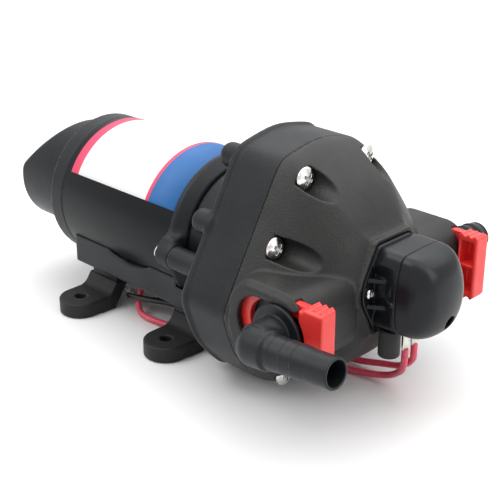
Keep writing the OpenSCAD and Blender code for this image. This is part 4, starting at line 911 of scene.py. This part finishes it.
def discShape(x, y, z):
    # the disc lies square to the tilted journal: turn the point back by the tilt about the swing centre
    b = driveSet
    c, s = math.cos(math.radians(b["tilt"])), math.sin(math.radians(b["tilt"]))
    along, up = (x - b["swing"]) * c + z * s, z * c - (x - b["swing"]) * s
    top = b["joint"] - b["swing"]
    d = rounded2(hypot(y, up) - b["disc"], span(along, top + b["gap"], top + b["thick"] - b["gap"]), 0.9)
    for a in np.radians([90, 210, 330]):
        d = trim(d, hypot(y - b["piston"] * np.cos(a), up - b["piston"] * np.sin(a)) - b["hole"], 0.2)
    return d


moulded("diaphragmRim", rimShape, (76.2, -33, -33), (79.8, 33, 33), 0.6, nitrile, "diaphragm")
moulded("diaphragmDisc", discShape, (74.4, -29.4, -29.4), (81.6, 29.4, 29.4), 0.6, nitrile, "diaphragm",
        "wobble")


def makeSpring():
    # wire along a helix
    b, sides = springSet, springSet["sides"]
    turn = np.linspace(0, 2 * np.pi * b["turns"], b["perTurn"] * b["turns"] + 1)
    ring = arange(sides) * 2 * np.pi / sides
    along = b["from"] + (b["to"] - b["from"]) * turn / turn[-1]
    r = b["radius"] + b["wire"] / 2 * np.cos(ring)
    v = stack([along[:, None] + b["wire"] / 2 * np.sin(ring), r * np.cos(turn)[:, None],
                  r * np.sin(turn)[:, None] + switchSet["z"]], -1).reshape(-1, 3)
    q = vstack([ringQuads(len(turn), sides), roundCap(sides)[:, ::-1], roundCap(sides) + len(v) - sides])
    obj = addPiece("switchSpring", v, q[:, ::-1], groundSteel, "switch_spring")
    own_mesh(obj)


makeSpring()
lathe("leadGrommet", grommetSet["bead"], grommetSet["turns"], nitrile, "lead_grommet", axis=2,
      centre=(grommetSet["x"], 0))

# Screws: a pan head with a cross recess, and a plain shank inside its boss

panSet = {"fine": 28, "margin": 3, "edge": 0.42, "dome": 1.5, "wide": 0.13, "long": 0.5, "floor": 0.35, "stub": 1.0,
          "sides": 24, "turned": 0.5}


def makeScrews(name, places, radius, height, shank, length, node, way=(1, 0, 0)):
    b = panSet
    wide, long, ball = b["wide"] * radius, b["long"] * radius, b["dome"] * radius

    def screw(x, y, z):
        head = rounded2(hypot(y, z) - radius, span(x, 0, height), b["edge"] * height)
        head = shared(head, np.sqrt((x + ball - height) ** 2 + y ** 2 + z ** 2) - ball, 0.3)
        for u, w in ((y, z), (z, y)):
            cross = block(x, u, w, (b["floor"] * height, -long, -wide), (3 * height, long, wide), 0.05)
            head = trim(head, cross, 0.12)
        return minimum(head, rounded2(hypot(y, z) - shank, span(x, -b["stub"], 0.4), 0.2))

    step = radius / b["fine"]
    side = radius + b["margin"] * step
    rows, q = netSurface(screw, (-4 * step - b["stub"], -side, -side), (height + b["margin"] * step, side, side), step)
    a = arange(b["sides"]) * 2 * np.pi / b["sides"]
    ring = np.c_[0 * a, shank * np.cos(a), shank * np.sin(a)]
    stem = vstack([ring + (x, 0, 0) for x in (-length, -b["stub"] / 2)])
    cap = roundCap(b["sides"])
    q = vstack([q, vstack([ringQuads(2, b["sides"]), cap[:, ::-1], cap + b["sides"]]) + len(rows)])
    rows = vstack([rows, stem])
    verts, quads = [], []
    for n, at in enumerate(places):
        c, s = math.cos(b["turned"] * (n + 1)), math.sin(b["turned"] * (n + 1))
        v = rows @ np.array([[1, 0, 0], [0, c, s], [0, -s, c]])
        if way[2]:
            v = stack([v[:, 1], v[:, 2], v[:, 0]], 1) * (1, way[2], way[2])
        if way[0] < 0:
            v = v * (-1, -1, 1)
        verts.append(v + at)
        quads.append(q + n * len(v))
    addPiece(name, vstack(verts), vstack(quads), platedSteel, node)


# places, then head radius and height, shank radius and length
makeScrews("headScrews", [(screwSet["seat"], cy, cz) for cy, cz in screwPlaces], 4.2, 3.0, 2.0, 35.0, "head_screws")
makeScrews("motorScrews", [(motorSet["front"], s * housingSet["motorY"], 0) for s in (-1, 1)], 3.4, 2.6, 2.0, 22.0,
           "motor_screws", way=(-1, 0, 0))
makeScrews("switchScrews", [(baseSet["plate"], s * 13.3, switchSet["z"]) for s in (-1, 1)], 1.9, 1.5, 1.2, 6.5,
           "switch_screws")
makeScrews("saddleScrews", [(x, 0, saddleSet["strap"]) for x in (-26.0, 22.0)], 2.8, 1.8, 1.5, 5.0, "saddle_screws",
           way=(0, 0, -1))
makeScrews("terminalScrew", [(120.0, 7.0, -17.4)], 2.0, 1.6, 1.0, 3.2, "terminal_screw")
print("pieces made")

# CAD pieces that keep their shape and take a material

kept = {
    groundSteel: ["motor_shaft", "armature_core", "front_bearing", "cam_bearing"],
    bareCopper: ["commutator", "armature_coils"],
    castZinc: ["cam_hub"],
    bronze: ["rear_bush"],
    ferrite: ["field_magnet_near", "field_magnet_far", "carbon_brushes"],
    acetalPale: ["wobble_plate", "valve_plate", "switch_plunger"],
    phenolic: ["brush_plate"],
    phenolicRed: ["microswitch"],
    nitrile: ["inlet_valves", "outlet_valve", "near_o_ring", "far_o_ring", "switch_diaphragm"],
    nylonFitting: ["piston_caps"],
    platedSteel: ["piston_screws", "calibration_screw"],
    tinnedBrass: ["terminal_tabs"],
}
for mat, names in kept.items():
    for node in names:
        dress(nodes[node], mat)

# Floor and light

stageSet = {"floor": "#fdfdfd", "bounce": "#b2b2b2", "rough": 0.9, "radius": 0.95, "sides": 96, "level": -0.0002,
            "world": 0.36, "middle": (0.04, 0, 0.05)}


def shownWhite(tree):
    # 1 for what the camera sees straight on, mirrored or through a clear piece
    path = addNode(tree, "LightPath")
    share = path.outputs["Is Camera Ray"]
    for kind in ("Is Glossy Ray", "Is Transmission Ray"):
        share = addNode(tree, "Math", {"operation": "MAXIMUM"}, i0=share, i1=path.outputs[kind]).outputs[0]
    return share


def makeStage():
    # round floor: pale to the eye, greyer in what it throws back on the part; the same for the world
    b, n = stageSet, stageSet["sides"]
    mesh = bpy.data.meshes.new("floor")
    around = arange(n) * 2 * np.pi / n
    rim = np.c_[b["radius"] * np.cos(around), b["radius"] * np.sin(around), np.full(n, b["level"])]
    mesh.from_pydata(rim.tolist(), [], [list(range(n))])
    floor = addObject("floor", mesh)
    mat, tree, shader, _ = startMaterial("paleFloor")
    shader.inputs["Base Color"].default_value = linear(b["floor"])
    shader.inputs["Roughness"].default_value = b["rough"]
    dull = addNode(tree, "BsdfDiffuse", Color=linear(b["bounce"]))
    mix = addNode(tree, "MixShader", i0=shownWhite(tree), i1=dull.outputs[0], i2=shader.outputs[0])
    tree.links.new(mix.outputs[0], next(n for n in tree.nodes if n.type == "OUTPUT_MATERIAL").inputs[0])
    dress(floor, mat)
    world = bpy.data.worlds.new("studio")
    scene.world = world
    world.use_nodes = True
    tree = world.node_tree
    tree.nodes.clear()
    soft = addNode(tree, "Background", Color=(1, 1, 1, 1), Strength=b["world"])
    white = addNode(tree, "Background", Color=(1, 1, 1, 1), Strength=1.0)
    mix = addNode(tree, "MixShader", i0=shownWhite(tree), i1=soft.outputs[0], i2=white.outputs[0])
    addNode(tree, "OutputWorld", Surface=mix.outputs[0])


def makeLamp(name, at, size, power):
    # area lamp, size in metres and power in watts, aimed at the middle of the part
    data = bpy.data.lights.new(name, "AREA")
    data.shape = "RECTANGLE"
    data.size, data.size_y = size
    data.energy = power
    lamp = addObject(name, data)
    lamp.location = at
    d = np.subtract(stageSet["middle"], at)
    yaw = math.atan2(d[1], d[0])
    pitch = math.atan2(math.hypot(d[0], d[1]), -d[2])
    lamp.rotation_euler = (pitch, 0, yaw - math.pi / 2)


makeStage()
makeLamp("overhead", (0.0, 0.2, 0.95), (1.7, 1.7), 16.5)
makeLamp("left", (-0.28, -0.6, 0.75), (0.6, 0.6), 3.2)
makeLamp("right", (0.75, 0.1, 0.45), (0.35, 0.5), 2.0)
scene.view_settings.view_transform = "Standard"
print("stage set")
